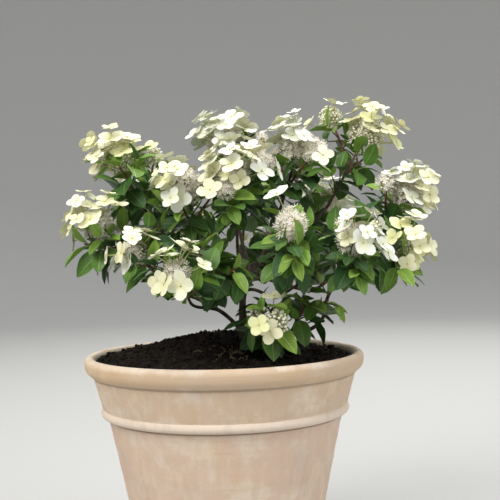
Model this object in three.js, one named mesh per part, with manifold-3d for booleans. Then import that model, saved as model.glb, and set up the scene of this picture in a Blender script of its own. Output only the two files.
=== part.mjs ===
// A panicle hydrangea in flower, growing in a round clay pot. Millimetres, +Z up, origin at the middle of
// the pot's flat underside, +Y away from the front. The pot is thrown clay with a rounded rim and a band
// under it. Compost fills it to a mound, a short trunk forks just above the mound, and thin boughs carry
// the flowering shoots. A shoot has a twig, leaves in crossed pairs, three young leaves under the flower
// head, and papery four-petalled florets on stalks around a cone of small fertile flowers.

import * as THREE from "three";
import { mergeVertices } from "three/addons/utils/BufferGeometryUtils.js";
import Module from "manifold-3d";

const wasm = await Module();
wasm.setup();

const GAP = 0.3; // left between solids that touch
const DEG = Math.PI / 180;
const TURN = 2 * Math.PI;
const GOLDEN = 137.508 * DEG;
const UP = new THREE.Vector3(0, 0, 1);
const STEEP = 0.9; // upward share of a direction that counts as upright

// Pot

const POT_SIDES = 32;
const BASE_R = 121.5;
const BASE_EDGE = 3; // rounding of the foot
const SLOPE = 0.168; // growth of the radius with height
const SWELL = 0.00013; // and with its square, so that the wall curves outwards a little
const WALL = 14; // thickness of the clay
const WALL_STEPS = [110]; // height of the corner in the curved wall
const FLOOR = { z: 18, fillet: 6 };
const BAND = { r: 166.9, z: 231.5, half: [8.9, 7.5], from: -90, to: 50, steps: 3 }; // bead round the wall
const COLLAR = [[174.2, 240], [185.2, 281.5]]; // thicker wall between the band and the rim
const LIP = [[190.6, 285.6], [194.4, 289.2], [196.8, 294]]; // underside of the rim
const ROLL = { r: 190, z: 301.4, half: [7.6, 8.6], from: 0, to: 190, steps: 4 }; // round top of the rim
const INNER_TOP = [[160, 240], [172, 280], [177, 291]]; // inside of the wall, up to the rim

// Compost

const MOUND = { x: -8, y: 14, height: 32, reach: 112, power: 2.4 };
const CRUMB = { rise: 1.1, width: 11 }; // unevenness of its surface
const FILL_RINGS = [0.9, 0.68, 0.46, 0.24];

// Trunk and boughs. A girth is the radius at each end.

const FOOT = { x: 29, y: -15, sunk: 3 };
const TRUNK = { girth: [6.6, 4.7], flare: 3.6, flareShare: 0.16, sides: 8, steps: 6 };
const TRUNK_PATH = [[0, 0, 0], [0, 0, 18], [-2, 2, 38], [-1, 3, 57]];
const BOUGH = { leaving: 0.38, arriving: 0.36, sides: 4, steps: 5 };
const PROBES = 12; // places along a limb that foliage is kept clear of

// Leaves and florets

const UNDERSIDE = 394; // foliage stays above this, but for the shoots that name their own lowest place
const HEART = 0.3; // share of the stem, below the flower head, where the middle of a mass lies
const APART = 0.8; // from the face between two masses
const LIMB_CLEAR = 5;
const SOIL_CLEAR = 2;
const TWIG = { tip: 1.9, side: [2.1, 1.7], sides: 3, root: 4 };
const LEAF = { long: [46, 66], wide: 0.58, fold: 0.22, droop: 0.2 };
const YOUNG = { long: [36, 56], wide: 0.44, fold: 0.5, droop: 0.1 };
const LEAF_BODY = { widest: 0.45, thick: 1.4, sunk: 0.5, free: 0.12, petiole: 0.15, narrowing: 3.2 };
const LEAF_STATIONS = [0.3, 0.45, 0.6, 0.75, 0.9]; // where along a leaf the room for it is tested
const LEAF_TRIES = [[1, 0], [0.85, 0], [1, 0.35], [0.8, 0.5], [0.7, -0.25]]; // shorter, and lower or higher
const FLORET = { radius: [17.5, 22.5], reach: [8, 22], cup: 0.15, thick: 1.2, notch: 0.5, spread: 25 * DEG };
const FLORET_TRIES = [[0, 1], [6, 0.92], [12, 0.85]]; // further out and smaller
const FLORET_PLACE = { turn: 0.25, low: [0.1, 0.28], rise: 0.65, highest: 0.85, tilt: 78, closing: 50 };
const FLORET_FACE = { out: 0.8, up: 0.5, across: 0.45, above: 0.3 };
const CROWDED = 0.5; // nearest two florets come, as a share of their radii
const RIM_PROBES = 12;
const STALK = { radius: 1.1, drop: 1.4, free: 1.2 };
const HEAD = { across: 5, along: 3, middle: 0.42, sunk: 0.12, free: 0.1 };
const HEAD_SIZES = [1, 0.85, 0.7]; // tried in turn where there is little room
const HEAD_LOOK = { probes: 6, belt: 4, thin: 0.05, rooted: 0.9 };

// How the leaves and side shoots stand: turns in radians, pitches in degrees from the twig's own way

const PAIR = { turn: 0.25, pitch: [62, 84], closing: 14, roll: 0.35, drop: [0.35, 0.95], highest: 0.93,
  toward: [0.6, 0.7], smaller: 0.25 };
const NEW = { turn: 0.3, flowering: [54, 76], leafy: [35, 60], roll: 0.3, place: 0.88, facing: 0.3 };
const LAST = { turn: 0.2, pitch: [14, 28], size: 0.8, place: 0.94 };
const MAIN = { lowest: 0.15, size: 1, young: 3, floretSize: 1 };
const SIDE = { share: [0.3, 0.7], turn: 0.3, spread: [36, 54], long: [0.5, 0.78], flowering: 0.5,
  florets: [1.4, 2.99], scale: [0.5, 0.68], upward: 0.22, cuts: [1, 0.8], stations: [0.4, 0.6, 0.8, 1] };
const SIDE_GROWTH = { girth: TWIG.side, pairs: 1, lowest: 0.55, size: 0.85, young: 2, floretSize: 0.92 };
const TWIG_TESTED = 0.98; // share of a twig that other growth may not cross

// Each shoot: the limb it leaves and where along it, the rise of its bough above level, the foot of its
// flower head, its lean (azimuth, and tilt from upright), the length of its stem, the head's length and
// radius, the counts of florets, side shoots and leaf pairs, the bough's girth, and the seed of its growth.

const LOW_STEM = { name: "low_stem", from: "trunk", share: 0.12, rise: 3, tip: [141, -22, 358],
  way: [0.55, 0, 0.83], girth: [3.2, 2.6] };

const SHOOTS = [
  { name: "upper_left", from: "trunk", share: 0.97, rise: 62, at: [-138, 20, 570], lean: [165, 28],
    stem: 96, head: [42, 19], florets: 10, sides: 2, pairs: 3, girth: [4.2, 2.3], seed: 174 },
  { name: "top", from: "trunk", share: 0.97, rise: 80, at: [106, 20, 578], lean: [20, 18],
    stem: 92, head: [52, 24], florets: 12, sides: 2, pairs: 3, girth: [4.2, 2.3], seed: 165 },
  { name: "back", from: "trunk", share: 0.9, rise: 58, at: [40, 165, 548], lean: [80, 38],
    stem: 96, head: [46, 21], florets: 4, sides: 2, pairs: 3, girth: [3.9, 2.3], seed: 13 },
  { name: "left", from: "trunk", share: 0.1, rise: 62, at: [-155, -60, 485], lean: [192, 48],
    stem: 92, head: [38, 17], florets: 8, sides: 2, pairs: 3, girth: [3.0, 2.2], seed: 154 },
  { name: "low_front", from: "trunk", share: 0.3, rise: 28, at: [70, -116, 358], lean: [280, 72],
    stem: 60, head: [34, 15.5], florets: 2, sides: 1, pairs: 3, girth: [2.8, 2.0], lowest: 0, seed: 178 },
  { name: "right", from: "low_stem", share: 1.0, rise: 84, at: [252, -12, 516], lean: [352, 40],
    stem: 92, head: [40, 20], florets: 9, sides: 2, pairs: 3, girth: [2.5, 2.1], lowest: 385, seed: 391 },
  { name: "centre_left", from: "upper_left", share: 0.2, rise: 60, at: [-42, -70, 528], lean: [250, 28],
    stem: 88, head: [44, 20], florets: 10, sides: 2, pairs: 3, girth: [3.2, 2.2], seed: 266 },
  { name: "left_back", from: "upper_left", share: 0.35, rise: 46, at: [-118, 130, 528], lean: [130, 42],
    stem: 92, head: [44, 20], florets: 4, sides: 2, pairs: 3, girth: [3.0, 2.2], seed: 18 },
  { name: "low_left", from: "left", share: 0.42, rise: 40, at: [-104, -118, 450], lean: [232, 54],
    stem: 74, head: [30, 14], florets: 4, sides: 2, pairs: 3, girth: [2.6, 2.0], seed: 346 },
  { name: "front_left", from: "left", share: 0.25, rise: 34, at: [-50, -168, 424], lean: [262, 62],
    stem: 74, head: [32, 15], florets: 3, sides: 2, pairs: 3, girth: [2.6, 2.0], seed: 224 },
  { name: "centre", from: "top", share: 0.16, rise: 66, at: [22, -84, 540], lean: [268, 20],
    stem: 84, head: [44, 21], florets: 11, sides: 2, pairs: 3, girth: [3.2, 2.2], seed: 369 },
  { name: "top_left", from: "top", share: 0.3, rise: 64, at: [12, 52, 588], lean: [120, 14],
    stem: 92, head: [50, 23], florets: 11, sides: 2, pairs: 3, girth: [3.1, 2.2], seed: 408 },
  { name: "right_top", from: "top", share: 0.4, rise: 52, at: [204, 54, 598], lean: [20, 32],
    stem: 92, head: [54, 25], florets: 8, sides: 2, pairs: 3, girth: [3.0, 2.2], seed: 364 },
  { name: "centre_front", from: "centre", share: 0.2, rise: 36, at: [92, -152, 478], lean: [276, 44],
    stem: 84, head: [40, 23], florets: 2, sides: 2, pairs: 3, girth: [2.8, 2.1], seed: 147 },
  { name: "centre_right", from: "right", share: 0.3, rise: 50, at: [168, -132, 456], lean: [290, 48],
    stem: 72, head: [38, 18], florets: 3, sides: 2, pairs: 3, girth: [2.3, 1.9], seed: 147 },
  { name: "low_right", from: "right", share: 0.42, rise: 30, at: [232, -84, 450], lean: [325, 62],
    stem: 66, head: [36, 17], florets: 6, sides: 2, pairs: 3, girth: [2.2, 1.9], seed: 220 },
  { name: "back_left", from: "back", share: 0.3, rise: 40, at: [-52, 178, 474], lean: [110, 56],
    stem: 84, head: [40, 18], florets: 4, sides: 2, pairs: 3, girth: [2.8, 2.1], seed: 27 },
  { name: "back_right", from: "back", share: 0.38, rise: 42, at: [150, 158, 512], lean: [50, 50],
    stem: 90, head: [44, 20], florets: 4, sides: 2, pairs: 3, girth: [2.8, 2.1], seed: 28 },
  { name: "right_back", from: "back", share: 0.2, rise: 38, at: [214, 94, 446], lean: [20, 56],
    stem: 84, head: [38, 18], florets: 4, sides: 2, pairs: 3, girth: [2.8, 2.1], seed: 29 },
  { name: "back_low", from: "back", share: 0.26, rise: 44, at: [72, 206, 452], lean: [85, 58],
    stem: 84, head: [38, 18], florets: 4, sides: 2, pairs: 3, girth: [2.8, 2.1], seed: 30 },
  { name: "under_left", from: "centre_left", share: 0.1, rise: 34, at: [-12, -122, 434], lean: [262, 66],
    stem: 80, head: null, florets: 0, sides: 2, pairs: 4, girth: [2.4, 2.0], lowest: 376, seed: 31 },
  { name: "under_right", from: "top", share: 0.1, rise: 44, at: [138, -80, 430], lean: [318, 62],
    stem: 88, head: null, florets: 0, sides: 2, pairs: 4, girth: [2.6, 2.0], lowest: 370, seed: 32 },
  { name: "under_low", from: "low_stem", share: 0.34, rise: 40, at: [116, -80, 388], lean: [304, 40],
    stem: 74, head: null, florets: 0, sides: 2, pairs: 4, girth: [2.4, 2.0], lowest: 318, seed: 297 },
];

// Solids

function solidOf(geometry) {
  const bare = geometry.clone();
  bare.deleteAttribute("normal");
  bare.deleteAttribute("uv");
  const merged = mergeVertices(bare, 1e-4);
  const corners = merged.index.array;
  const kept = [];
  for (let i = 0; i < corners.length; i += 3) {
    const [a, b, c] = corners.slice(i, i + 3);
    if (a !== b && b !== c && c !== a) {
      kept.push(a, b, c);
    }
  }
  const vertProperties = merged.attributes.position.array;
  return new wasm.Manifold(new wasm.Mesh({ numProp: 3, vertProperties, triVerts: new Uint32Array(kept) }));
}

// The largest body alone, so that a loose scrap is dropped and a sealed hollow is filled.
function meshOf(name, solid, finish) {
  const whole = solid.decompose().reduce((a, b) => (b.volume() > a.volume() ? b : a));
  const { vertProperties, triVerts } = whole.getMesh();
  const geometry = new THREE.BufferGeometry();
  geometry.setAttribute("position", new THREE.BufferAttribute(vertProperties, 3));
  geometry.setIndex(new THREE.BufferAttribute(triVerts, 1));
  geometry.computeVertexNormals();
  const mesh = new THREE.Mesh(geometry, new THREE.MeshStandardMaterial(finish));
  mesh.name = name;
  return mesh;
}

function reshape(geometry, spotOf) {
  const places = geometry.attributes.position;
  for (let i = 0; i < places.count; i += 1) {
    const spot = spotOf(places.getX(i), places.getY(i), places.getZ(i));
    places.setXYZ(i, spot.x, spot.y, spot.z);
  }
  return geometry;
}

// Pot: an outline turned round the upright axis

function arc(middle, half, from, to, steps) {
  const points = [];
  for (let i = 0; i <= steps; i += 1) {
    const angle = (from + ((to - from) * i) / steps) * DEG;
    points.push([middle[0] + half[0] * Math.cos(angle), middle[1] + half[1] * Math.sin(angle)]);
  }
  return points;
}

function outerR(z) {
  return BASE_R + SLOPE * z + SWELL * z * z;
}

// From the middle of the floor up to the roll, moved in by an inset for what fills the pot.
function innerOutline(inset) {
  const low = outerR(FLOOR.z + FLOOR.fillet) - WALL;
  const [rollEnd] = arc([ROLL.r, ROLL.z], ROLL.half, ROLL.to, ROLL.to, 1);
  const floorEdge = [low - FLOOR.fillet, FLOOR.z + inset];
  const side = [[low, FLOOR.z + FLOOR.fillet], ...INNER_TOP, rollEnd].map(([r, z]) => [r - inset, z]);
  return [[0, FLOOR.z + inset], floorEdge, ...side];
}

function turned(outline) {
  const points = outline.map(([r, z]) => new THREE.Vector2(r, z));
  return new THREE.LatheGeometry(points, POT_SIDES).rotateX(Math.PI / 2);
}

function potSolid() {
  const outline = [
    [0, 0],
    [BASE_R - BASE_EDGE, 0],
    ...[BASE_EDGE, ...WALL_STEPS].map((z) => [outerR(z), z]),
    ...arc([BAND.r, BAND.z], BAND.half, BAND.from, BAND.to, BAND.steps),
    ...COLLAR,
    ...LIP,
    ...arc([ROLL.r, ROLL.z], ROLL.half, ROLL.from, ROLL.to, ROLL.steps),
    ...innerOutline(0).reverse().slice(1),
  ];
  return solidOf(turned(outline));
}

// Compost: the inside of the pot, with a mound on top

function surfaceAt(x, y) {
  const away = Math.hypot(x - MOUND.x, y - MOUND.y) / MOUND.reach;
  return ROLL.z + MOUND.height * Math.exp(-(away ** MOUND.power));
}

function compostSolid() {
  const outline = innerOutline(GAP);
  const [edge] = outline.at(-1);
  outline.push(...FILL_RINGS.map((share) => [edge * share, ROLL.z]), [0, ROLL.z]);
  const heaped = reshape(turned(outline), (x, y, z) => {
    if (z < ROLL.z - GAP) return { x, y, z };
    const crumb = Math.sin(x / CRUMB.width) * Math.cos(y / CRUMB.width);
    return { x, y, z: surfaceAt(x, y) + CRUMB.rise * crumb };
  });
  return solidOf(heaped);
}

// Trunk and boughs: round limbs along smooth curves

function limbRadius(limb, share) {
  const [low, high] = limb.girth;
  const flare = limb.flare ? limb.flare * Math.exp(-share / limb.flareShare) : 0;
  return low + (high - low) * share + flare;
}

function limbSolid(limb, grown) {
  const { curve, steps, sides } = limb;
  const { tangents, normals, binormals } = curve.computeFrenetFrames(steps);
  const tube = reshape(new THREE.CylinderGeometry(1, 1, 1, sides, steps), (x, y, z) => {
    const share = y + 0.5;
    const ring = Math.round(share * steps);
    const radius = limbRadius(limb, share) + grown;
    const past = ((ring === steps) - (ring === 0)) * grown;
    return curve.getPointAt(share)
      .addScaledVector(binormals[ring], x * radius)
      .addScaledVector(normals[ring], z * radius)
      .addScaledVector(tangents[ring], past);
  });
  return solidOf(tube);
}

function heading([azimuth, tilt]) {
  const level = Math.sin(tilt * DEG);
  return new THREE.Vector3(
    level * Math.cos(azimuth * DEG),
    level * Math.sin(azimuth * DEG),
    Math.cos(tilt * DEG),
  );
}

function stemFoot({ at, lean, stem }) {
  return new THREE.Vector3(...at).addScaledVector(heading(lean), -stem);
}

function addBough(limbs, { name, from, share, rise, girth }, tip, way) {
  const start = limbs.get(from).curve.getPoint(share);
  const span = tip.clone().sub(start);
  const chord = span.length();
  const level = span.setZ(0).normalize().multiplyScalar(Math.cos(rise * DEG));
  const leaving = level.setZ(Math.sin(rise * DEG)).multiplyScalar(chord * BOUGH.leaving).add(start);
  const arriving = tip.clone().addScaledVector(way, -chord * BOUGH.arriving);
  limbs.set(name, { ...BOUGH, girth, curve: new THREE.CubicBezierCurve3(start, leaving, arriving, tip) });
}

function growLimbs() {
  const limbs = new Map();
  const foot = new THREE.Vector3(FOOT.x, FOOT.y, surfaceAt(FOOT.x, FOOT.y) - FOOT.sunk);
  const path = TRUNK_PATH.map((step) => new THREE.Vector3(...step).add(foot));
  limbs.set("trunk", { ...TRUNK, curve: new THREE.CubicBezierCurve3(...path) });
  const lowWay = new THREE.Vector3(...LOW_STEM.way).normalize();
  addBough(limbs, LOW_STEM, new THREE.Vector3(...LOW_STEM.tip), lowWay);
  for (const shoot of SHOOTS) addBough(limbs, shoot, stemFoot(shoot), heading(shoot.lean));
  return limbs;
}

// Each limb is cut clear of the ones it springs from or passes.
function limbSolids(limbs) {
  const made = new Map();
  const grown = [];
  for (const [name, limb] of limbs) {
    const solid = grown.reduce((rest, other) => rest.subtract(other), limbSolid(limb, 0));
    made.set(name, solid);
    grown.push(limbSolid(limb, GAP));
  }
  return { made, grown };
}

// Growth of a shoot

function seeded(seed) {
  let state = (seed * 48271) % 2147483647;
  return (low, high) => {
    state = (state * 16807) % 2147483647;
    return low + ((high - low) * (state - 1)) / 2147483646;
  };
}

function acrossOf(way) {
  return way.clone().cross(UP).normalize();
}

// A direction at an angle from the way, turned round it from the side that faces up.
function leaning(way, turn, angle) {
  const across = acrossOf(way);
  const above = across.clone().cross(way);
  return way.clone().multiplyScalar(Math.cos(angle))
    .addScaledVector(above, Math.cos(turn) * Math.sin(angle))
    .addScaledVector(across, Math.sin(turn) * Math.sin(angle));
}

function along(start, way, distance) {
  return start.clone().addScaledVector(way, distance);
}

// The room that a mass has: its own side of the faces to its neighbours, clear of limbs and compost.
function roomFor(shoot, hearts, limbPoints) {
  const own = hearts.get(shoot.name);
  const others = [...hearts.values()].filter((heart) => heart !== own);
  const lowest = shoot.lowest ?? UNDERSIDE;
  const nearest = new THREE.Vector3();
  return (points) => points.every((point) => {
    const ground = Math.hypot(point.x, point.y) > ROLL.r - ROLL.half[0]
      ? ROLL.z + ROLL.half[1]
      : surfaceAt(point.x, point.y);
    if (point.z < Math.max(lowest, ground + SOIL_CLEAR)) return false;
    const ownSquare = point.distanceToSquared(own);
    const inside = others.every((heart) => {
      const beyond = point.distanceToSquared(heart) - ownSquare;
      return beyond / (2 * heart.distanceTo(own)) >= APART;
    });
    return inside && limbPoints.every(({ line, radius }) =>
      line.closestPointToPoint(point, true, nearest).distanceTo(point) > radius + LIMB_CLEAR);
  });
}

function limbLines(limbs) {
  return [...limbs.values()].flatMap(({ curve, girth }) => {
    const points = curve.getPoints(PROBES);
    return points.slice(1).map((point, i) => ({
      line: new THREE.Line3(points[i], point),
      radius: girth[0] + ((girth[1] - girth[0]) * (i + 0.5)) / PROBES,
    }));
  });
}

function leafSpot(leaf, share, side, above) {
  const half = (leaf.long * leaf.wide) / 2;
  const lift = leaf.fold * half * Math.abs(side) - leaf.droop * leaf.long * share * share + above;
  return along(leaf.root, leaf.way, leaf.long * share)
    .addScaledVector(leaf.side, half * side)
    .addScaledVector(leaf.face, lift);
}

function leafProbes(leaf) {
  const points = [leafSpot(leaf, 1, 0, 0), leafSpot(leaf, LEAF_BODY.petiole, 0, 0)];
  for (const share of LEAF_STATIONS) {
    const half = Math.min(1, LEAF_BODY.narrowing * (1 - share));
    for (const side of [-half, 0, half]) {
      points.push(leafSpot(leaf, share, side, 0));
    }
  }
  return points;
}

function rimSpot({ centre, face, spin }, radius, turn) {
  const level = Math.abs(face.z) < STEEP ? UP : new THREE.Vector3(1, 0, 0);
  const a = face.clone().cross(level).normalize();
  const b = face.clone().cross(a);
  return along(centre, a, radius * Math.cos(spin + turn)).addScaledVector(b, radius * Math.sin(spin + turn));
}

function petalSpot(floret, share, turn) {
  return rimSpot(floret, floret.radius * share, turn)
    .addScaledVector(floret.face, floret.radius * FLORET.cup * share);
}

function floretProbes(floret) {
  const points = [floret.centre, floret.centre.clone().add(floret.root).multiplyScalar(0.5)];
  for (let i = 0; i < RIM_PROBES; i += 1) {
    points.push(petalSpot(floret, 1, (i * TURN) / RIM_PROBES));
  }
  return points;
}

function beltOf({ foot, way, long, radius }, count) {
  const spots = [];
  for (let k = 0; k < count; k += 1) {
    const out = leaning(way, (k * TURN) / count, Math.PI / 2);
    spots.push(along(foot, way, long * HEAD.middle).addScaledVector(out, radius));
  }
  return spots;
}

function headProbes(head) {
  return [along(head.foot, head.way, head.long), ...beltOf(head, HEAD_LOOK.probes)];
}

// What has grown is kept as thin faces and their edges. Two things cross where an edge goes through a face.
function sheetOf(faces, stems = []) {
  return { faces, edges: [...faces.flatMap(([a, b, c]) => [[a, b], [b, c], [c, a]]), ...stems] };
}

function leafSheet(leaf) {
  const { widest, free } = LEAF_BODY;
  const middle = leafSpot(leaf, widest, 0, 0);
  const ends = [leafSpot(leaf, free, 0, 0), leafSpot(leaf, 1, 0, 0)];
  const corners = [-1, 1].map((side) => leafSpot(leaf, widest, side, 0));
  return sheetOf(corners.flatMap((corner) => ends.map((end) => [end, corner, middle])));
}

function floretSheet(floret) {
  const petals = [0, 1, 2, 3].map((k) => [
    floret.centre,
    petalSpot(floret, 1, (k * TURN) / 4 - FLORET.spread),
    petalSpot(floret, 1, (k * TURN) / 4 + FLORET.spread),
  ]);
  return sheetOf(petals, [[floret.centre, floret.free]]);
}

function headSheet(head) {
  const belt = beltOf(head, HEAD_LOOK.belt);
  const ends = [HEAD.free, 1].map((share) => along(head.foot, head.way, head.long * share));
  return sheetOf(belt.flatMap((spot, k) => ends.map((end) => [spot, belt[(k + 1) % belt.length], end])));
}

function pierces(edges, faces) {
  return edges.some(([from, to]) => {
    const ray = new THREE.Ray(from, to.clone().sub(from).normalize());
    return faces.some(([a, b, c]) => {
      const spot = ray.intersectTriangle(a, b, c, false, new THREE.Vector3());
      return spot && spot.distanceTo(from) <= to.distanceTo(from);
    });
  });
}

function isFree(plan, probes, sheet) {
  if (!plan.room(probes)) return false;
  const crossing = ({ faces, edges }) => pierces(sheet.edges, faces) || pierces(edges, sheet.faces);
  return !plan.sheets.some(crossing);
}

function addLeaf(plan, root, out, toward, kind, long, roll) {
  for (const [share, fall] of LEAF_TRIES) {
    const way = out.clone().addScaledVector(UP, -fall).normalize();
    const level = toward.clone().addScaledVector(way, -toward.dot(way)).normalize();
    const beside = level.clone().cross(way);
    const face = level.clone().multiplyScalar(Math.cos(roll)).addScaledVector(beside, Math.sin(roll));
    const side = beside.multiplyScalar(Math.cos(roll)).addScaledVector(level, -Math.sin(roll));
    const leaf = { ...kind, root, way, face, side, long: long * share };
    const sheet = leafSheet(leaf);
    if (!isFree(plan, leafProbes(leaf), sheet)) continue;
    plan.leaves.push(leaf);
    plan.sheets.push(sheet);
    return;
  }
}

// Florets stand round the head by the golden angle, wide at its foot and steeper towards its tip.
function addFloret(plan, head, index, count, draw, size) {
  const turn = draw(-FLORET_PLACE.turn, FLORET_PLACE.turn);
  const rise = draw(...FLORET_PLACE.low) + (FLORET_PLACE.rise * index) / count;
  const share = Math.min(FLORET_PLACE.highest, rise);
  const reach = draw(...FLORET.reach);
  const radius = draw(...FLORET.radius) * size;
  const spin = draw(0, 1.57);
  const across = draw(-1, 1) * FLORET_FACE.across;
  const above = draw(-1, 1) * FLORET_FACE.above;
  const tilt = (FLORET_PLACE.tilt - FLORET_PLACE.closing * share) * DEG;
  const out = leaning(head.way, head.start + index * GOLDEN + turn, tilt);
  const skin = head.radius * Math.sqrt(Math.max(HEAD_LOOK.thin, 1 - share * share));
  const root = along(head.foot, head.way, head.long * share * HEAD_LOOK.rooted);
  const beside = acrossOf(out);
  const face = out.clone().multiplyScalar(FLORET_FACE.out).addScaledVector(UP, FLORET_FACE.up)
    .addScaledVector(beside, across).addScaledVector(beside.clone().cross(out), above).normalize();
  for (const [push, scale] of FLORET_TRIES) {
    const centre = along(root, out, skin + reach + push);
    const free = along(root, out, skin * STALK.free);
    const floret = { root, centre, free, face, spin, radius: radius * scale };
    const apart = plan.florets.every((other) =>
      centre.distanceTo(other.centre) >= CROWDED * (floret.radius + other.radius));
    const sheet = floretSheet(floret);
    if (!apart || !isFree(plan, floretProbes(floret), sheet)) continue;
    plan.florets.push(floret);
    plan.sheets.push(sheet);
    return;
  }
}

function growPairs(plan, { draw, foot, way, long, pairs, lowest, size }) {
  const start = draw(0, TURN);
  const toward = way.clone().multiplyScalar(PAIR.toward[0]).addScaledVector(UP, PAIR.toward[1]);
  for (let pair = 0; pair < pairs; pair += 1) {
    const share = lowest + ((PAIR.highest - lowest) * pair) / pairs;
    for (const flip of [0, 1]) {
      const turn = start + (pair * TURN) / 4 + (flip * TURN) / 2 + draw(-PAIR.turn, PAIR.turn);
      const pitch = (draw(...PAIR.pitch) - PAIR.closing * share) * DEG;
      const length = draw(...LEAF.long) * size * (1.05 - PAIR.smaller * share);
      const roll = draw(-PAIR.roll, PAIR.roll);
      const drop = draw(...PAIR.drop) * (1.25 - share);
      const out = leaning(way, turn, pitch).addScaledVector(UP, -drop).normalize();
      addLeaf(plan, along(foot, way, long * share), out, toward, LEAF, length, roll);
    }
  }
}

function growYoung(plan, { draw, foot, way, long, size, bloom, young }) {
  const start = draw(0, TURN);
  const toward = way.clone().addScaledVector(UP, NEW.facing);
  for (let i = 0; i < young; i += 1) {
    const turn = start + (i * TURN) / young + draw(-NEW.turn, NEW.turn);
    const pitch = draw(...(bloom ? NEW.flowering : NEW.leafy)) * DEG;
    const length = draw(...YOUNG.long) * size;
    const roll = draw(-NEW.roll, NEW.roll);
    addLeaf(plan, along(foot, way, long * NEW.place), leaning(way, turn, pitch), toward, YOUNG, length, roll);
  }
}

function growLast(plan, { draw, foot, way, long, size, start }) {
  const toward = way.clone().addScaledVector(UP, NEW.facing);
  for (const flip of [0, 1]) {
    const turn = start + (flip * TURN) / 2 + draw(-LAST.turn, LAST.turn);
    const pitch = draw(...LAST.pitch) * DEG;
    const length = draw(...YOUNG.long) * size * LAST.size;
    addLeaf(plan, along(foot, way, long * LAST.place), leaning(way, turn, pitch), toward, YOUNG, length, 0);
  }
}

// A side shoot springs from the main twig and turns up a little.
function sideTwig(plan, shoot, main, start, index) {
  const draw = seeded(shoot.seed * 10 + index + 1);
  const share = draw(...SIDE.share);
  const turn = start + index * GOLDEN + draw(-SIDE.turn, SIDE.turn);
  const spread = draw(...SIDE.spread) * DEG;
  const long = shoot.stem * draw(...SIDE.long);
  const flowers = draw(0, 1) < SIDE.flowering && shoot.head;
  const florets = Math.floor(draw(...SIDE.florets));
  const scale = draw(...SIDE.scale);
  const way = leaning(main.way, turn, spread).addScaledVector(UP, SIDE.upward).normalize();
  const foot = along(main.foot, main.way, shoot.stem * share);
  const cut = SIDE.cuts.find((size) =>
    plan.room(SIDE.stations.map((reach) => along(foot, way, long * size * reach))));
  const head = flowers ? shoot.head.map((size) => size * scale) : null;
  return cut && { ...SIDE_GROWTH, draw, foot, way, long: long * cut, head, florets, side: true };
}

// The flower head at the tip of a twig, as large as there is room for.
function addHead(plan, twig) {
  const { foot, way, long, head } = twig;
  twig.start = twig.draw(0, TURN);
  twig.tip = along(foot, way, long);
  for (const size of head ? HEAD_SIZES : []) {
    const bloom = { foot: twig.tip, way, long: head[0] * size, radius: head[1] * size, start: twig.start };
    const sheet = headSheet(bloom);
    if (!isFree(plan, headProbes(bloom), sheet)) continue;
    plan.heads.push(bloom);
    plan.sheets.push(sheet);
    twig.bloom = bloom;
    twig.tip = along(twig.tip, way, bloom.long * HEAD.sunk);
    return;
  }
}

// The twigs come first, then the flower heads, the florets, and the leaves where there is room left.
function growMass(shoot, room) {
  const plan = { room, twigs: [], leaves: [], florets: [], heads: [], sheets: [] };
  const way = heading(shoot.lean);
  const foot = along(stemFoot(shoot), way, GAP);
  const { stem, head, florets, pairs } = shoot;
  const draw = seeded(shoot.seed);
  const girth = [shoot.girth[1], TWIG.tip];
  const main = { ...MAIN, draw, foot, way, long: stem - GAP, girth, pairs, head, florets };
  const start = draw(0, TURN);
  plan.twigs.push(main);
  for (let i = 0; i < shoot.sides; i += 1) {
    const twig = sideTwig(plan, shoot, main, start, i);
    if (twig) plan.twigs.push(twig);
  }
  for (const twig of plan.twigs) {
    const edge = [twig.foot, along(twig.foot, twig.way, twig.long * TWIG_TESTED)];
    plan.sheets.push({ faces: [], edges: [edge] });
  }
  for (const twig of plan.twigs) addHead(plan, twig);
  for (const twig of plan.twigs) {
    const count = twig.bloom ? twig.florets : 0;
    for (let i = 0; i < count; i += 1) {
      addFloret(plan, twig.bloom, i, count, twig.draw, twig.floretSize);
    }
  }
  for (const twig of plan.twigs) {
    growYoung(plan, twig);
    if (!(twig.side && twig.bloom)) growPairs(plan, twig);
    if (!twig.side && !twig.bloom) growLast(plan, twig);
  }
  return plan;
}

// Solids of a mass, fused into one

// A twig of three sides. A side twig starts at a point inside the main one.
function twigSolid({ foot, tip, girth: [low, high], side }) {
  const span = tip.clone().sub(foot);
  const long = span.length();
  const turn = new THREE.Quaternion().setFromUnitVectors(new THREE.Vector3(0, 1, 0), span.normalize());
  return solidOf(reshape(new THREE.CylinderGeometry(1, 1, 1, TWIG.sides, side ? 2 : 1), (x, y, z) => {
    const up = y === 0 ? TWIG.root : (y + 0.5) * long;
    const radius = up === 0 && side ? 0 : low + ((high - low) * up) / long;
    return new THREE.Vector3(x * radius, up, z * radius).applyQuaternion(turn).add(foot);
  }));
}

function leafSolid(leaf) {
  const { widest, thick, sunk } = LEAF_BODY;
  return solidOf(reshape(new THREE.OctahedronGeometry(1), (x, y, z) => {
    if (x < -0.5) return along(leaf.root, leaf.way, -sunk);
    return x > 0.5 ? leafSpot(leaf, 1, 0, 0) : leafSpot(leaf, widest, y, (z * thick) / 2);
  }));
}

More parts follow.
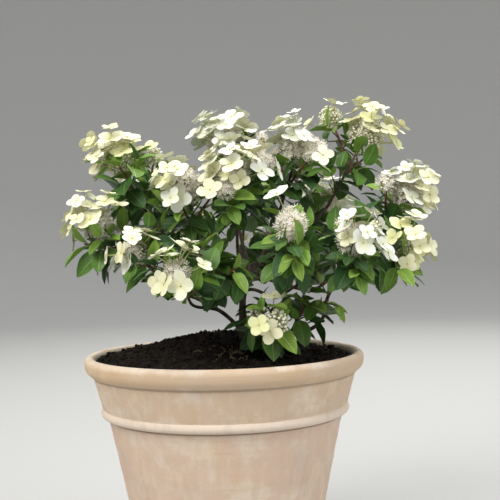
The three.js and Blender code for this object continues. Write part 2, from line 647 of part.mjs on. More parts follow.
// Four petals on a stalk that runs down into the head: the tip of a ball, a rim, a neck and the stalk's root.
function floretSolid(floret) {
  const { thick, notch, spread } = FLORET;
  return solidOf(reshape(new THREE.SphereGeometry(1, 12, 3), (x, y, z) => {
    if (y > 0.9) return along(floret.centre, floret.face, thick / 2);
    if (y < -0.9) return floret.root;
    const point = (Math.round(Math.atan2(x, z) / (30 * DEG)) + 12) % 12;
    const petal = (Math.floor(point / 3) * TURN) / 4;
    if (y < 0) {
      const corner = (Math.floor(((point + 11) % 12) / 4) * TURN) / 3;
      return rimSpot(floret, STALK.radius, corner).addScaledVector(floret.face, -STALK.drop);
    }
    return petalSpot(floret, point % 3 ? 1 : notch, petal + [-TURN / 8, -spread, spread][point % 3]);
  }));
}

function headSolid({ foot, way, long, radius }) {
  const across = acrossOf(way);
  const above = across.clone().cross(way);
  return solidOf(reshape(new THREE.SphereGeometry(1, HEAD.across, HEAD.along), (x, y, z) =>
    along(foot, way, long * (HEAD.middle + y / 2))
      .addScaledVector(across, x * radius)
      .addScaledVector(above, z * radius)));
}

function massSolid({ twigs, leaves, florets, heads }) {
  return [
    ...twigs.map(twigSolid),
    ...heads.map(headSolid),
    ...florets.map(floretSolid),
    ...leaves.map(leafSolid),
  ].reduce((all, next) => all.add(next));
}

// The whole plant in its pot

const group = new THREE.Group();
const limbs = growLimbs();
const { made, grown } = limbSolids(limbs);
const compost = grown.reduce((rest, limb) => rest.subtract(limb), compostSolid());
group.add(meshOf("pot", potSolid(), { color: 0xcfae8e, roughness: 0.85, metalness: 0 }));
group.add(meshOf("compost", compost, { color: 0x241c17, roughness: 1, metalness: 0 }));

const bark = { color: 0x4a3a30, roughness: 0.9, metalness: 0 };
for (const [name, solid] of made) group.add(meshOf(name === "trunk" ? name : `bough_${name}`, solid, bark));

const hearts = new Map(SHOOTS.map((shoot) =>
  [shoot.name, along(new THREE.Vector3(...shoot.at), heading(shoot.lean), -shoot.stem * HEART)]));
const lines = limbLines(limbs);
for (const shoot of SHOOTS) {
  const plan = growMass(shoot, roomFor(shoot, hearts, lines));
  const finish = { color: shoot.head ? 0xb9bf94 : 0x3f6b35, roughness: 0.6, metalness: 0 };
  group.add(meshOf(`foliage_${shoot.name}`, massSolid(plan), finish));
}

export default group;
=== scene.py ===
import math

import bpy
import numpy as np
from mathutils import Matrix, Vector, noise


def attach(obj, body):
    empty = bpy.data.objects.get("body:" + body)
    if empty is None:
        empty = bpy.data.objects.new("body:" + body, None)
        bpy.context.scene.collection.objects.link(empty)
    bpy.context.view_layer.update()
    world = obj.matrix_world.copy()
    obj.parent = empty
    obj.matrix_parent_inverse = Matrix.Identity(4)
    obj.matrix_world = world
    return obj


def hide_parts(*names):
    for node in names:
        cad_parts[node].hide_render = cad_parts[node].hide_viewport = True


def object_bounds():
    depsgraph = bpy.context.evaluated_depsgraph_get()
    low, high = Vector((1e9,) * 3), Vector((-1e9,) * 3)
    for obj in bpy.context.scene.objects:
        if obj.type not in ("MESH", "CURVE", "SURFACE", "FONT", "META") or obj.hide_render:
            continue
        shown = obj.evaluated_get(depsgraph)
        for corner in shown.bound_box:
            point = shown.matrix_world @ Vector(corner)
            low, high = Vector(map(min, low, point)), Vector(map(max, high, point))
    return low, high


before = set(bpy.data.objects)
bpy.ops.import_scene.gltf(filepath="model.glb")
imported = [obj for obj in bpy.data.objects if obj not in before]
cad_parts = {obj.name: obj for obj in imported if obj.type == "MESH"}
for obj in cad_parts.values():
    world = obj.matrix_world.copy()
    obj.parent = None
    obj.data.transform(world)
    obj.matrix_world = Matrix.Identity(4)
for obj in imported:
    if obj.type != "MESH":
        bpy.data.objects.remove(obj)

solid_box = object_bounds()

TURN = 2 * math.pi


# Camera. It stands a metre and a half in front of the pot, as high as the crown's middle. It looks very
# slightly down and leans a little, so the left end of the rim hangs lower in the picture.

CAMERA_PLACE = (0.0401, -1.5, 0.486)
LOOKING_DOWN = math.radians(1.22)
LEANING = math.radians(-1.4)
LENS, SENSOR_WIDE = 75.9, 36  # millimetres

bpy.ops.object.select_all(action="DESELECT")
bpy.ops.object.camera_add(location=CAMERA_PLACE)
camera = bpy.context.object
camera.name = "camera"
tilt = Matrix.Rotation(math.pi / 2 - LOOKING_DOWN, 3, "X") @ Matrix.Rotation(LEANING, 3, "Z")
camera.rotation_euler = tilt.to_euler()
camera.data.lens = LENS
camera.data.sensor_width = SENSOR_WIDE
bpy.context.scene.camera = camera


# Studio. A pale floor that sweeps up into a wall all round without an edge, so that the shrub stands
# before the same plain ground from every side.

FLOOR_R = 4.0
COVE_R = 2.0
WALL_HEIGHT = 5.0
COVE_STEPS = 12
STUDIO_SIDES = 96
STUDIO_GREY = (0.44, 0.44, 0.43)
SKY_COLOUR = (0.97, 0.98, 1.0)
SKY_STRENGTH = 0.55


def drawn_outline(name, points):
    """Extrudes one vertex from point to point (radius, height) in the plane y = 0."""
    bpy.ops.object.select_all(action="DESELECT")
    bpy.ops.mesh.primitive_plane_add(size=1)
    piece = bpy.context.object
    piece.name = name
    bpy.ops.object.mode_set(mode="EDIT")
    bpy.ops.mesh.merge(type="CENTER")
    bpy.ops.transform.translate(value=(points[0][0], 0, points[0][1]))
    for (r0, z0), (r1, z1) in zip(points, points[1:]):
        bpy.ops.mesh.extrude_vertices_move(TRANSFORM_OT_translate={"value": (r1 - r0, 0, z1 - z0)})
    bpy.ops.object.mode_set(mode="OBJECT")
    return piece


def thrown(name, points, steps, smooth=40):
    """An outline turned round the upright axis, as on a wheel."""
    piece = drawn_outline(name, points)
    bpy.ops.object.mode_set(mode="EDIT")
    bpy.ops.mesh.select_all(action="SELECT")
    bpy.ops.mesh.spin(steps=steps, angle=TURN, center=(0, 0, 0), axis=(0, 0, 1))
    bpy.ops.mesh.select_all(action="SELECT")
    bpy.ops.mesh.remove_doubles(threshold=2e-5)
    bpy.ops.mesh.normals_make_consistent(inside=False)
    bpy.ops.object.mode_set(mode="OBJECT")
    bpy.ops.object.shade_smooth_by_angle(angle=math.radians(smooth))
    return piece


def arc(middle, half, start, end, steps):
    """Points on an upright ellipse between two angles in degrees."""
    points = []
    for i in range(steps + 1):
        angle = math.radians(start + (end - start) * i / steps)
        points.append((middle[0] + half[0] * math.cos(angle), middle[1] + half[1] * math.sin(angle)))
    return points


class Level:
    """A number that changes over a surface. Arithmetic on it adds Math nodes."""

    def __init__(self, finish, socket):
        self.finish = finish
        self.socket = socket

    def reckon(self, operation, *values):
        inputs = dict(enumerate(values))
        return self.finish.node("ShaderNodeMath", {"operation": operation}, inputs)

    def __add__(self, other):
        return self.reckon("ADD", self, other)

    def __radd__(self, other):
        return self.reckon("ADD", other, self)

    def __sub__(self, other):
        return self.reckon("SUBTRACT", self, other)

    def __rsub__(self, other):
        return self.reckon("SUBTRACT", other, self)

    def __mul__(self, other):
        return self.reckon("MULTIPLY", self, other)

    def __truediv__(self, other):
        return self.reckon("DIVIDE", self, other)

    def __pow__(self, other):
        return self.reckon("POWER", self, other)

    def __abs__(self):
        return self.reckon("ABSOLUTE", self)

    def between(self, low, high):
        """0 below low, 1 above high, and smooth between them."""
        return self.finish.node("ShaderNodeMapRange", {"interpolation_type": "SMOOTHSTEP"},
                                {"Value": self, "From Min": low, "From Max": high})


class Finish:
    """A material with one principled surface, and the nodes that vary it."""

    def __init__(self, name, colour, roughness, **steady):
        self.material = bpy.data.materials.new(name)
        self.material.use_nodes = True
        self.tree = self.material.node_tree
        self.surface = self.tree.nodes["Principled BSDF"]
        self.set("Base Color", colour)
        self.set("Roughness", roughness)
        for socket, value in steady.items():
            self.set(socket.replace("_", " "), value)

    def feed(self, socket, value):
        if isinstance(value, Level):
            self.tree.links.new(value.socket, socket)
        elif isinstance(value, tuple) and socket.type == "RGBA":
            socket.default_value = (*value[:3], 1)
        else:
            socket.default_value = value

    def set(self, socket, value):
        self.feed(self.surface.inputs[socket], value)

    def node(self, kind, settings=None, inputs=None, output=0):
        made = self.tree.nodes.new(kind)
        for setting, value in (settings or {}).items():
            setattr(made, setting, value)
        for socket, value in (inputs or {}).items():
            self.feed(made.inputs[socket], value)
        return Level(self, made.outputs[output])

    def grain(self, scale, stretch=(1, 1, 1), detail=3.0, rough=0.55):
        """Noise between about 0.3 and 0.7."""
        spot = self.node("ShaderNodeTexCoord", output="Object")
        place = self.node("ShaderNodeMapping", inputs={"Vector": spot, "Scale": stretch})
        inputs = {"Vector": place, "Scale": scale, "Detail": detail, "Roughness": rough}
        return self.node("ShaderNodeTexNoise", inputs=inputs)

    def part(self, letter, output="Object"):
        """One coordinate of the place on the surface."""
        spot = self.node("ShaderNodeTexCoord", output=output)
        return self.node("ShaderNodeSeparateXYZ", inputs={"Vector": spot}, output=letter)

    def mix(self, first, second, share):
        return self.node("ShaderNodeMix", {"data_type": "RGBA"}, {0: share, 6: first, 7: second}, output=2)

    def relief(self, level, depth, strength=1.0):
        inputs = {"Height": level, "Distance": depth, "Strength": strength}
        self.set("Normal", self.node("ShaderNodeBump", inputs=inputs))


def dressed(piece, *finishes):
    piece.data.materials.clear()
    for finish in finishes:
        piece.data.materials.append(finish.material)


cove = arc((FLOOR_R, COVE_R), (COVE_R, COVE_R), -90, 0, COVE_STEPS)
bowl = [(0, 0), (1.0, 0), *cove, (FLOOR_R + COVE_R, WALL_HEIGHT)]
studio = thrown("studio_floor", bowl, STUDIO_SIDES, smooth=60)
studio_paint = Finish("studio paint", STUDIO_GREY, 0.9)
dressed(studio, studio_paint)

LAMPS = [
    # name, place, size, watts, warmth
    ("key", (-1.7, -2.3, 3.0), 2.2, 120, (1.0, 0.985, 0.95)),
    ("fill", (2.6, -1.6, 2.0), 2.4, 46, (0.96, 0.98, 1.0)),
    ("back", (0.9, 2.6, 2.8), 2.2, 75, (1.0, 0.99, 0.97)),
    ("above", (0.0, 0.2, 3.6), 2.4, 70, (1.0, 1.0, 1.0)),
]
LAMP_TARGET = Vector((0.03, 0.0, 0.4))

for name, place, size, watts, warmth in LAMPS:
    bpy.ops.object.light_add(type="AREA", location=place)
    lamp = bpy.context.object
    lamp.name = f"lamp_{name}"
    lamp.data.size = size
    lamp.data.energy = watts
    lamp.data.color = warmth
    lamp.rotation_euler = (LAMP_TARGET - Vector(place)).to_track_quat("-Z", "Y").to_euler()

sky = bpy.data.worlds.new("soft sky")
sky.use_nodes = True
sky.node_tree.nodes["Background"].inputs["Color"].default_value = (*SKY_COLOUR, 1)
sky.node_tree.nodes["Background"].inputs["Strength"].default_value = SKY_STRENGTH
bpy.context.scene.world = sky
bpy.context.scene.view_settings.view_transform = "Standard"


# Pot. Thrown and fired clay of a pale peach colour, with a rolled rim, one raised band below it and a
# plain tapered wall. Lime has bloomed white on it, and the inside of the rim is stained by the compost.

POT_SIDES = 168
BASE_R = 0.1215
BASE_EDGE = 0.003
SLOPE = 0.168  # growth of the radius with height
SWELL = 0.13  # and with its square, so that the wall curves outwards a little
CLAY_WALL = 0.014
FLOOR_Z = 0.018
FLOOR_FILLET = 0.006
BAND = {"middle": (0.1669, 0.2315), "half": (0.0089, 0.0075), "start": -90, "end": 50}
BAND_GROOVE = (0.0008, 0.2230)  # a fine groove that the tool left under the band: its depth and height
COLLAR = [(0.1742, 0.240), (0.1852, 0.2815)]
LIP = [(0.1880, 0.2833), (0.1906, 0.2856), (0.1926, 0.2873), (0.1944, 0.2892), (0.1957, 0.2915),
       (0.1968, 0.294)]
ROLL_R = 0.190
ROLL_Z = 0.3014
ROLL_HALF = (0.0076, 0.0086)
INNER_TOP = [(0.160, 0.240), (0.172, 0.280), (0.177, 0.291)]
ROLL_END = 190  # degrees, where the rolled rim passes into the inside
FLAT_R = 0.05  # a ring in the flat underside and in the floor
OUTLINE_STEPS = {"foot": 5, "wall": 34, "band": 12, "collar": 6, "roll": 18, "floor": 4}
THROWING_MARK = 0.00022  # depth of the faint rings that the potter's hand left
MARKS_FROM = 0.012  # height where they begin

# Heights, and on the inside a radius, between which the colour of one part passes into the next
BAND_FOOT, BAND_HEAD = (0.2240, 0.2270), (0.2360, 0.2400)
COLLAR_FOOT = (0.2360, 0.2420)
RIM_FOOT, RIM_TOP = (0.283, 0.288), (0.300, 0.3085)
# The next two give heights of painted shade: a dark line under the band and one under the rolled rim
BAND_SHADE = (0.2205, 0.2230)
RIM_SHADE, RIM_SHADE_ENDS = (0.2785, 0.2815), (0.2825, 0.2855)
INSIDE_R, INSIDE_FOOT = (0.1840, 0.1880), (0.284, 0.292)

CLAY = (0.660, 0.492, 0.382)
CLAY_RIM = (0.575, 0.435, 0.295)
CLAY_PALE = (0.765, 0.665, 0.555)
CLAY_FLAKE = (0.775, 0.655, 0.480)
CLAY_OCHRE = (0.60, 0.40, 0.20)
CLAY_GREY = (0.49, 0.405, 0.345)
# Dark colour for painted shade under the rim and the band, and for the compost's stain inside the rim
CLAY_SHADE_AND_STAIN = (0.17, 0.11, 0.07)
CLAY_INSIDE = (0.47, 0.41, 0.32)


def outer_radius(z):
    return BASE_R + SLOPE * z + SWELL * z * z


def throwing_marks(start, end, steps):
    """Points from one (radius, height) to another on the outside, moved in and out a little."""
    points = []
    for i in range(steps):
        share = i / steps
        z = start[1] + (end[1] - start[1]) * share
        straight = outer_radius(start[1]) + (outer_radius(end[1]) - outer_radius(start[1])) * share
        bow = outer_radius(z) - straight
        mark = THROWING_MARK * (math.sin(z * 830) + 0.6 * math.sin(z * 1490 + 1))
        points.append((start[0] + (end[0] - start[0]) * share + bow + mark, z))
    return points


def pot_outline():
    steps = OUTLINE_STEPS
    foot_middle = (BASE_R - BASE_EDGE + SLOPE * BASE_EDGE, BASE_EDGE)
    foot = arc(foot_middle, (BASE_EDGE,) * 2, -90, 0, steps["foot"])
    depth, groove_z = BAND_GROOVE
    sunk = outer_radius(groove_z) - depth
    groove = [(sunk, groove_z), (sunk, groove_z + 0.0006)]
    below = (outer_radius(groove_z), groove_z - 0.001)
    wall = throwing_marks((outer_radius(MARKS_FROM), MARKS_FROM), below, steps["wall"])
    band = arc(BAND["middle"], BAND["half"], BAND["start"], BAND["end"], steps["band"])
    collar = throwing_marks(*COLLAR, steps["collar"])
    roll = arc((ROLL_R, ROLL_Z), ROLL_HALF, 0, ROLL_END, steps["roll"])
    inner_low = outer_radius(FLOOR_Z + FLOOR_FILLET) - CLAY_WALL
    floor_middle = (inner_low - FLOOR_FILLET, FLOOR_Z + FLOOR_FILLET)
    floor = arc(floor_middle, (FLOOR_FILLET,) * 2, 0, -90, steps["floor"])
    return [
        (0, 0), (FLAT_R, 0), *foot, *wall, below, *groove, *band, *collar, COLLAR[1], *LIP,
        *roll, *reversed(INNER_TOP), *floor, (FLAT_R, FLOOR_Z), (0, FLOOR_Z),
    ]


def placed(piece, slot, *nodes):
    """Hands a finished piece over: it stands for these solids, which are hidden. The slot is not used."""
    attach(piece, "root")
    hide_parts(*nodes)


pot = thrown("clay_pot", pot_outline(), POT_SIDES)

clay = Finish("pale clay", CLAY, 0.86)
height = clay.part("Z")
patches = clay.grain(9, detail=3.0)
clouds = clay.grain(23, detail=4.0, rough=0.6)
flakes = clay.grain(26, stretch=(1, 1, 0.7), detail=5.0, rough=0.62)
streaks = clay.grain(90, stretch=(1, 1, 0.05), detail=4.0, rough=0.6)
wiping = clay.grain(20, stretch=(1, 1, 12), detail=4.0)
speckle = clay.grain(430, detail=2.0)
rim = height.between(*RIM_FOOT)
rim_top = height.between(*RIM_TOP)
band = height.between(*BAND_FOOT) * (1 - height.between(*BAND_HEAD))
# Painted shade: dark lines under the rolled rim and under the band, where they overhang
painted_shade_lines = height.between(*RIM_SHADE) * (1 - height.between(*RIM_SHADE_ENDS))
painted_shade_lines = painted_shade_lines + height.between(*BAND_SHADE) * (1 - height.between(*BAND_FOOT))
collar = height.between(*COLLAR_FOOT) * (1 - rim)
wall = (1 - rim) * (1 - band)
across, deep = clay.part("X"), clay.part("Y")
from_axis = (across * across + deep * deep) ** 0.5
inside = (1 - from_axis.between(*INSIDE_R)) * height.between(*INSIDE_FOOT)
# Pale patches, and paler on the top of the rim and on the band; the top of the rim is also less ochre
bloomed = (clouds * 0.9 + patches * 0.6 + rim_top * 0.12 + band * 0.30 - 0.70).between(0, 0.26)
warmed = (patches * 0.9 + wiping * 0.5 + rim * 0.18 - rim_top * 0.14 - band * 0.3 - 0.72).between(0, 0.26)
greyed = (clouds * 0.6 + streaks * 0.5 - patches * 0.4 - 0.36).between(0, 0.18)
flaked = (flakes * 1.2 - patches * 0.35 - 0.50).between(0, 0.09)
stained = (inside * (clouds * 0.8 + speckle * 0.8)).between(0.78, 1.02)
washes = [
    # colour, and how much of it lies over the one before
    # on the rim its own darker ochre; on the collar under the rim, painted shade
    (CLAY_RIM, rim * 0.70 + collar * 0.55),
    (CLAY_PALE, bloomed * 0.74),
    (CLAY_OCHRE, warmed * 0.50),
    (CLAY_GREY, greyed * 0.30),
    (CLAY_FLAKE, flaked * wall * 0.30),
    (CLAY_OCHRE, (streaks - 0.52).between(0, 0.14) * wall * 0.16),
    (CLAY_PALE, (0.47 - streaks).between(0, 0.14) * wall * 0.16),
    (CLAY_OCHRE, (speckle - 0.56).between(0, 0.14) * 0.20),
    # painted shade under the rim and under the band
    (CLAY_SHADE_AND_STAIN, painted_shade_lines * (0.35 + clouds * 0.5) * 0.75),
    (CLAY_INSIDE, inside * 0.7),
    (CLAY_SHADE_AND_STAIN, stained * 0.5),
]
colour = CLAY
for wash, share in washes:
    colour = clay.mix(colour, wash, share)
clay.set("Base Color", colour)
clay.set("Roughness", 0.84 + clouds * 0.12)
clay.relief(wiping * 0.35 + clouds * 0.25 + speckle * 0.3, 0.0008, 0.6)
dressed(pot, clay)
placed(pot, "pot", "pot")


# Compost. Dark, moist potting compost that fills the pot to the rim and is heaped round the stem, with a
# loose crust of crumbs, and a few pale rootlets that show on it in front.

MOUND_X, MOUND_Y = -0.008, 0.014
MOUND_HEIGHT = 0.032
MOUND_REACH = 0.112
MOUND_POWER = 2.4
FILL_R = 0.1818
COMPOST_SIDES = 288
COMPOST_RINGS = 70
SKIRT, SKIRT_IN = 0.022, (0.0035, 0.0012)  # how deep the heap's side reaches, and how far it draws in
LUMPS, CLODS, GRIT = (26, 0.0036), (85, 0.0042), (230, 0.0034)  # how fine, and how high
EDGE_WIDE = 0.006
CRUMBS = 3400
CRUMB_SIZES = (0.0010, 0.0046)
CRUMB_SEED = 5
CRUMB_FINENESS = 3.2  # the higher, the more small ones
CRUMB_SHAPE = ((0.7, 1.2), (0.7, 1.2), (0.55, 0.95))
CRUMB_DENTS = (0.75, 1.1)
DRY_CRUMBS = 0.16  # share of them
ROOTLET_STEPS = 14
ROOTLET_R = (0.0007, 0.0004)
ROOTLET_LIFT, ROOTLET_WAVE = 0.0012, 0.002
ROOTLETS = [
    # start, turn and length of each, on the heap in front of the stem
    ((0.004, -0.070), 2.6, 0.050), ((0.016, -0.084), 0.5, 0.044), ((0.026, -0.066), 4.0, 0.052),
    ((-0.006, -0.096), 1.1, 0.034), ((0.034, -0.096), 2.2, 0.040), ((0.010, -0.106), 0.1, 0.030),
    ((0.000, -0.082), 5.0, 0.046), ((0.020, -0.074), 3.2, 0.038), ((0.028, -0.088), 1.7, 0.036),
]
PEAT = (0.0085, 0.0064, 0.0052)
PEAT_DRY = (0.026, 0.019, 0.014)
ROOTLET_COLOUR = (0.16, 0.13, 0.065)


def surface_at(x, y):
    """Height of the compost, without its crumbs."""
    away = math.hypot(x - MOUND_X, y - MOUND_Y) / MOUND_REACH
    return ROLL_Z + MOUND_HEIGHT * math.exp(-(away ** MOUND_POWER))


def crumbled(x, y):
    """Unevenness of the crust: lumps, clods and grit, and less of it along the clay."""
    spot = Vector((x, y, 0.0))
    lumps = noise.noise(spot * LUMPS[0]) * LUMPS[1]
    clods = noise.noise(spot * CLODS[0] + Vector((3, 1, 0))) * CLODS[1]
    grit = abs(noise.noise(spot * GRIT[0] + Vector((7, 5, 0)))) * GRIT[1]
    edge = min(1.0, (FILL_R - math.hypot(x, y)) / EDGE_WIDE + 0.15)
    return (lumps + clods + grit) * max(edge, 0.0)


def heaped(x, y):
    return surface_at(x, y) + crumbled(x, y)


skirt = [(FILL_R - SKIRT_IN[0], ROLL_Z - SKIRT), (FILL_R - SKIRT_IN[1], ROLL_Z - SKIRT / 2),
         (FILL_R, ROLL_Z)]
rings = [(FILL_R * (1 - i / COMPOST_RINGS), ROLL_Z) for i in range(1, COMPOST_RINGS + 1)]
compost = thrown("compost_heap", [*skirt, *rings], COMPOST_SIDES, smooth=75)
for vertex in compost.data.vertices:
    if vertex.co.z > ROLL_Z - 1e-5:
        vertex.co.z = heaped(vertex.co.x, vertex.co.y)

peat = Finish("moist compost", PEAT, 0.96, Specular_IOR_Level=0.12)
clods = peat.grain(95, detail=6.0)
grit = peat.grain(520, detail=4.0)
peat.set("Base Color", peat.mix(PEAT, PEAT_DRY, (clods * 0.7 + grit * 0.6 - 0.60).between(0, 0.22)))
peat.relief(clods * 0.6 + grit * 0.5, 0.0022, 1.0)
dressed(compost, peat)
placed(compost, "compost", "compost")


PRIME, SEED_FACTOR, DRAW_FACTOR = 2147483647, 48271, 16807


def seeded(seed):
    """The same run of numbers for the same seed."""
    state = seed * SEED_FACTOR % PRIME

    def draw(low, high):
        nonlocal state
        state = state * DRAW_FACTOR % PRIME
        return low + (high - low) * (state - 1) / (PRIME - 1)

    return draw


def ball_of_few_faces(fineness=1):
    """Corners and faces of a ball of radius 1, of twenty faces at the least fineness."""
    bpy.ops.object.select_all(action="DESELECT")
    bpy.ops.mesh.primitive_ico_sphere_add(subdivisions=fineness, radius=1)
    ball = bpy.context.object
    corners = np.array([tuple(vertex.co) for vertex in ball.data.vertices])
    faces = np.array([tuple(face.vertices) for face in ball.data.polygons])
    bpy.ops.object.delete()
    return corners, faces


class Joined:
    """Many small things gathered into one mesh: corners, faces, finish numbers and places in a pattern."""

    def __init__(self, name):
        self.name = name
        self.corners = []
        self.faces = []
        self.kinds = []
        self.spots = []
        self.count = 0

    def add(self, corners, faces, kind=0, spots=None):
        """faces is an array, or a list of arrays by their count of sides. kind is one finish number, or one
        for each face, and spots are pattern places, one for each corner."""
        corners = np.asarray(corners, float)
        self.corners.append(corners)
        for part in faces if isinstance(faces, list) else [faces]:
            self.faces.append(np.asarray(part) + self.count)
            self.kinds.append(np.broadcast_to(kind, len(part)))
        self.spots.append(np.zeros((len(corners), 2)) if spots is None else spots)
        self.count += len(corners)

    def piece(self, *finishes, smooth=True):
        corners = np.concatenate(self.corners)
        spots = np.concatenate(self.spots)
        sizes = np.concatenate([np.full(len(part), part.shape[1]) for part in self.faces])
        loops = np.concatenate([part.ravel() for part in self.faces])
        mesh = bpy.data.meshes.new(self.name)
        mesh.vertices.add(len(corners))
        mesh.vertices.foreach_set("co", corners.ravel())
        mesh.loops.add(len(loops))
        mesh.loops.foreach_set("vertex_index", loops.astype(np.int32))
        mesh.polygons.add(len(sizes))
        starts = np.concatenate(([0], np.cumsum(sizes)[:-1]))
        mesh.polygons.foreach_set("loop_start", starts.astype(np.int32))
        mesh.polygons.foreach_set("use_smooth", np.full(len(sizes), smooth))
        pattern = mesh.uv_layers.new(name="pattern")
        pattern.data.foreach_set("uv", spots[loops].ravel())
        mesh.update(calc_edges=True)
        mesh.validate()
        made = bpy.data.objects.new(self.name, mesh)
        bpy.context.scene.collection.objects.link(made)
        dressed(made, *finishes)
        mesh.polygons.foreach_set("material_index", np.concatenate(self.kinds).astype(np.int32))
        return made


UP = np.array((0.0, 0.0, 1.0))
STEEP = 0.9  # a direction that stands more upright than this isn't crossed with UP
END_CONES = (0.3, 0.5)  # how far they stand out at the foot and the tip of a tube, in radii


def across_from(way):
    """A direction across the way, of no set length."""
    return np.cross(way, UP if abs(way[2]) < STEEP else np.array((1.0, 0.0, 0.0)))


def frames_along(points):
    """For each point of a line, two directions across it that don't twist."""
    ways = np.gradient(points, axis=0)
    ways /= np.linalg.norm(ways, axis=1, keepdims=True)
    first = across_from(ways[0])
    firsts = []
    for way in ways:
        first = first - way * (way @ first)
        first = first / np.linalg.norm(first)
        firsts.append(first)
    firsts = np.array(firsts)
    return ways, firsts, np.cross(ways, firsts)


def tube(points, radii, sides, dents=None):
    """Corners and faces of a closed tube along points. The dents are added to its radius."""
    points = np.asarray(points, float)
    ways, firsts, seconds = frames_along(points)
    count = len(points)
    turns = np.arange(sides) * TURN / sides
    reach = np.asarray(radii, float)[:, None] + (0 if dents is None else dents)
    reach = np.broadcast_to(reach, (count, sides))
    cosines, sines = np.cos(turns)[None, :, None], np.sin(turns)[None, :, None]
    across = firsts[:, None] * cosines + seconds[:, None] * sines
    corners = (points[:, None] + across * reach[..., None]).reshape(-1, 3)
    i, j = np.meshgrid(np.arange(count - 1), np.arange(sides), indexing="ij")
    after = (j + 1) % sides
    faces = np.stack((i * sides + j, i * sides + after, (i + 1) * sides + after, (i + 1) * sides + j), -1)
    return corners, faces.reshape(-1, 4), ways


def add_tube(joined, points, radii, sides, kind=0, dents=None):
    """A tube with its two ends closed by low cones."""
    corners, faces, ways = tube(points, radii, sides, dents)
    ends = np.array((points[0] - ways[0] * radii[0] * END_CONES[0],
                     points[-1] + ways[-1] * radii[-1] * END_CONES[1]))
    foot, tip = len(corners), len(corners) + 1
    last = len(corners) - sides
    around = np.arange(sides)
    after = (around + 1) % sides
    closing = [np.stack((np.full(sides, foot), after, around), -1),
               np.stack((np.full(sides, tip), last + around, last + after), -1)]
    joined.add(np.concatenate((corners, ends)), [faces, np.concatenate(closing)], kind)


draw = seeded(CRUMB_SEED)
ball_corners, ball_faces = ball_of_few_faces()
crust = Joined("compost_crumbs")
for i in range(CRUMBS):
    away = (FILL_R - 0.004) * math.sqrt(draw(0, 1))
    turn = draw(0, TURN)
    x, y = away * math.cos(turn), away * math.sin(turn)
    size = CRUMB_SIZES[0] + (CRUMB_SIZES[1] - CRUMB_SIZES[0]) * draw(0, 1) ** CRUMB_FINENESS
    shape = np.array([draw(*limits) for limits in CRUMB_SHAPE]) * size
    spun = Matrix.Rotation(draw(0, math.pi), 3, (draw(-1, 1), draw(-1, 1), 1))
    dented = ball_corners * np.array([draw(*CRUMB_DENTS) for _ in ball_corners])[:, None]
    middle = np.array((x, y, heaped(x, y) + size * 0.25))
    crust.add(dented * shape @ np.array(spun) + middle, ball_faces, int(draw(0, 1) < DRY_CRUMBS))
dry_peat = Finish("dry crumbs", PEAT_DRY, 0.95, Specular_IOR_Level=0.12)
dry_peat.relief(dry_peat.grain(600), 0.0008)
crumbs = crust.piece(peat, dry_peat, smooth=False)
placed(crumbs, "compost", "compost")

rootlets = Joined("rootlets")
for (x, y), turn, long in ROOTLETS:
    line = []
    for i in range(ROOTLET_STEPS + 1):
        line.append((x, y, heaped(x, y) + ROOTLET_LIFT + ROOTLET_WAVE * math.sin(i * 0.9 + turn)))
        turn += draw(-0.55, 0.55)
        x += math.cos(turn) * long / ROOTLET_STEPS
        y += math.sin(turn) * long / ROOTLET_STEPS
    add_tube(rootlets, np.array(line), np.linspace(*ROOTLET_R, ROOTLET_STEPS + 1), 5)
pale_root = Finish("pale rootlets", ROOTLET_COLOUR, 0.8)
pale_root.relief(pale_root.grain(900), 0.0003)
placed(rootlets.piece(pale_root), "compost", "compost")


# Trunk and boughs. One short dark trunk flares into the heap and forks a finger's length above it. The
# thin woody boughs rise from it in arches, with a rough, furrowed bark.

GAP = 0.0003
FOOT = (0.029, -0.015)
FOOT_SUNK = 0.003
TRUNK_PATH = [(0, 0, 0), (0, 0, 0.018), (-0.002, 0.002, 0.038), (-0.001, 0.003, 0.057)]
TRUNK_GIRTH = (0.0066, 0.0047)
FLARE = 0.0036
FLARE_SHARE = 0.16
LEAVING = 0.38
ARRIVING = 0.36
LIMB_TESTED = 12  # places along a limb that foliage is kept clear of
TRUNK_RINGS, TRUNK_SIDES = 56, 22
BOUGH_STEP, BOUGH_SIDES = 0.0024, 12
TRUNK_BARK, BOUGH_BARK = 0.0009, 0.00032  # depth of the furrows
FURROW = {"round": 2.1, "along": 0.055, "shift": 40}
CRACK = {"scale": 2.7, "along": 0.22, "depth": 0.55}
KNOT = {"scale": 55, "from": 0.25, "size": 0.5}
ROOT_SPREAD = 0.45  # how far the flare stands out in its three roots, as a share of it
FOOT_HIDDEN = 0.002
BARK = (0.050, 0.033, 0.024)
BARK_LIGHT = (0.125, 0.088, 0.062)

# Each shoot: the limb it leaves and where along it, the rise of its bough above level, the foot of its
# flower head, its lean (azimuth, and tilt from upright), the length of its stem, the head's length and
# radius, the counts of florets, side shoots and leaf pairs, the bough's girth, and the seed of its growth.

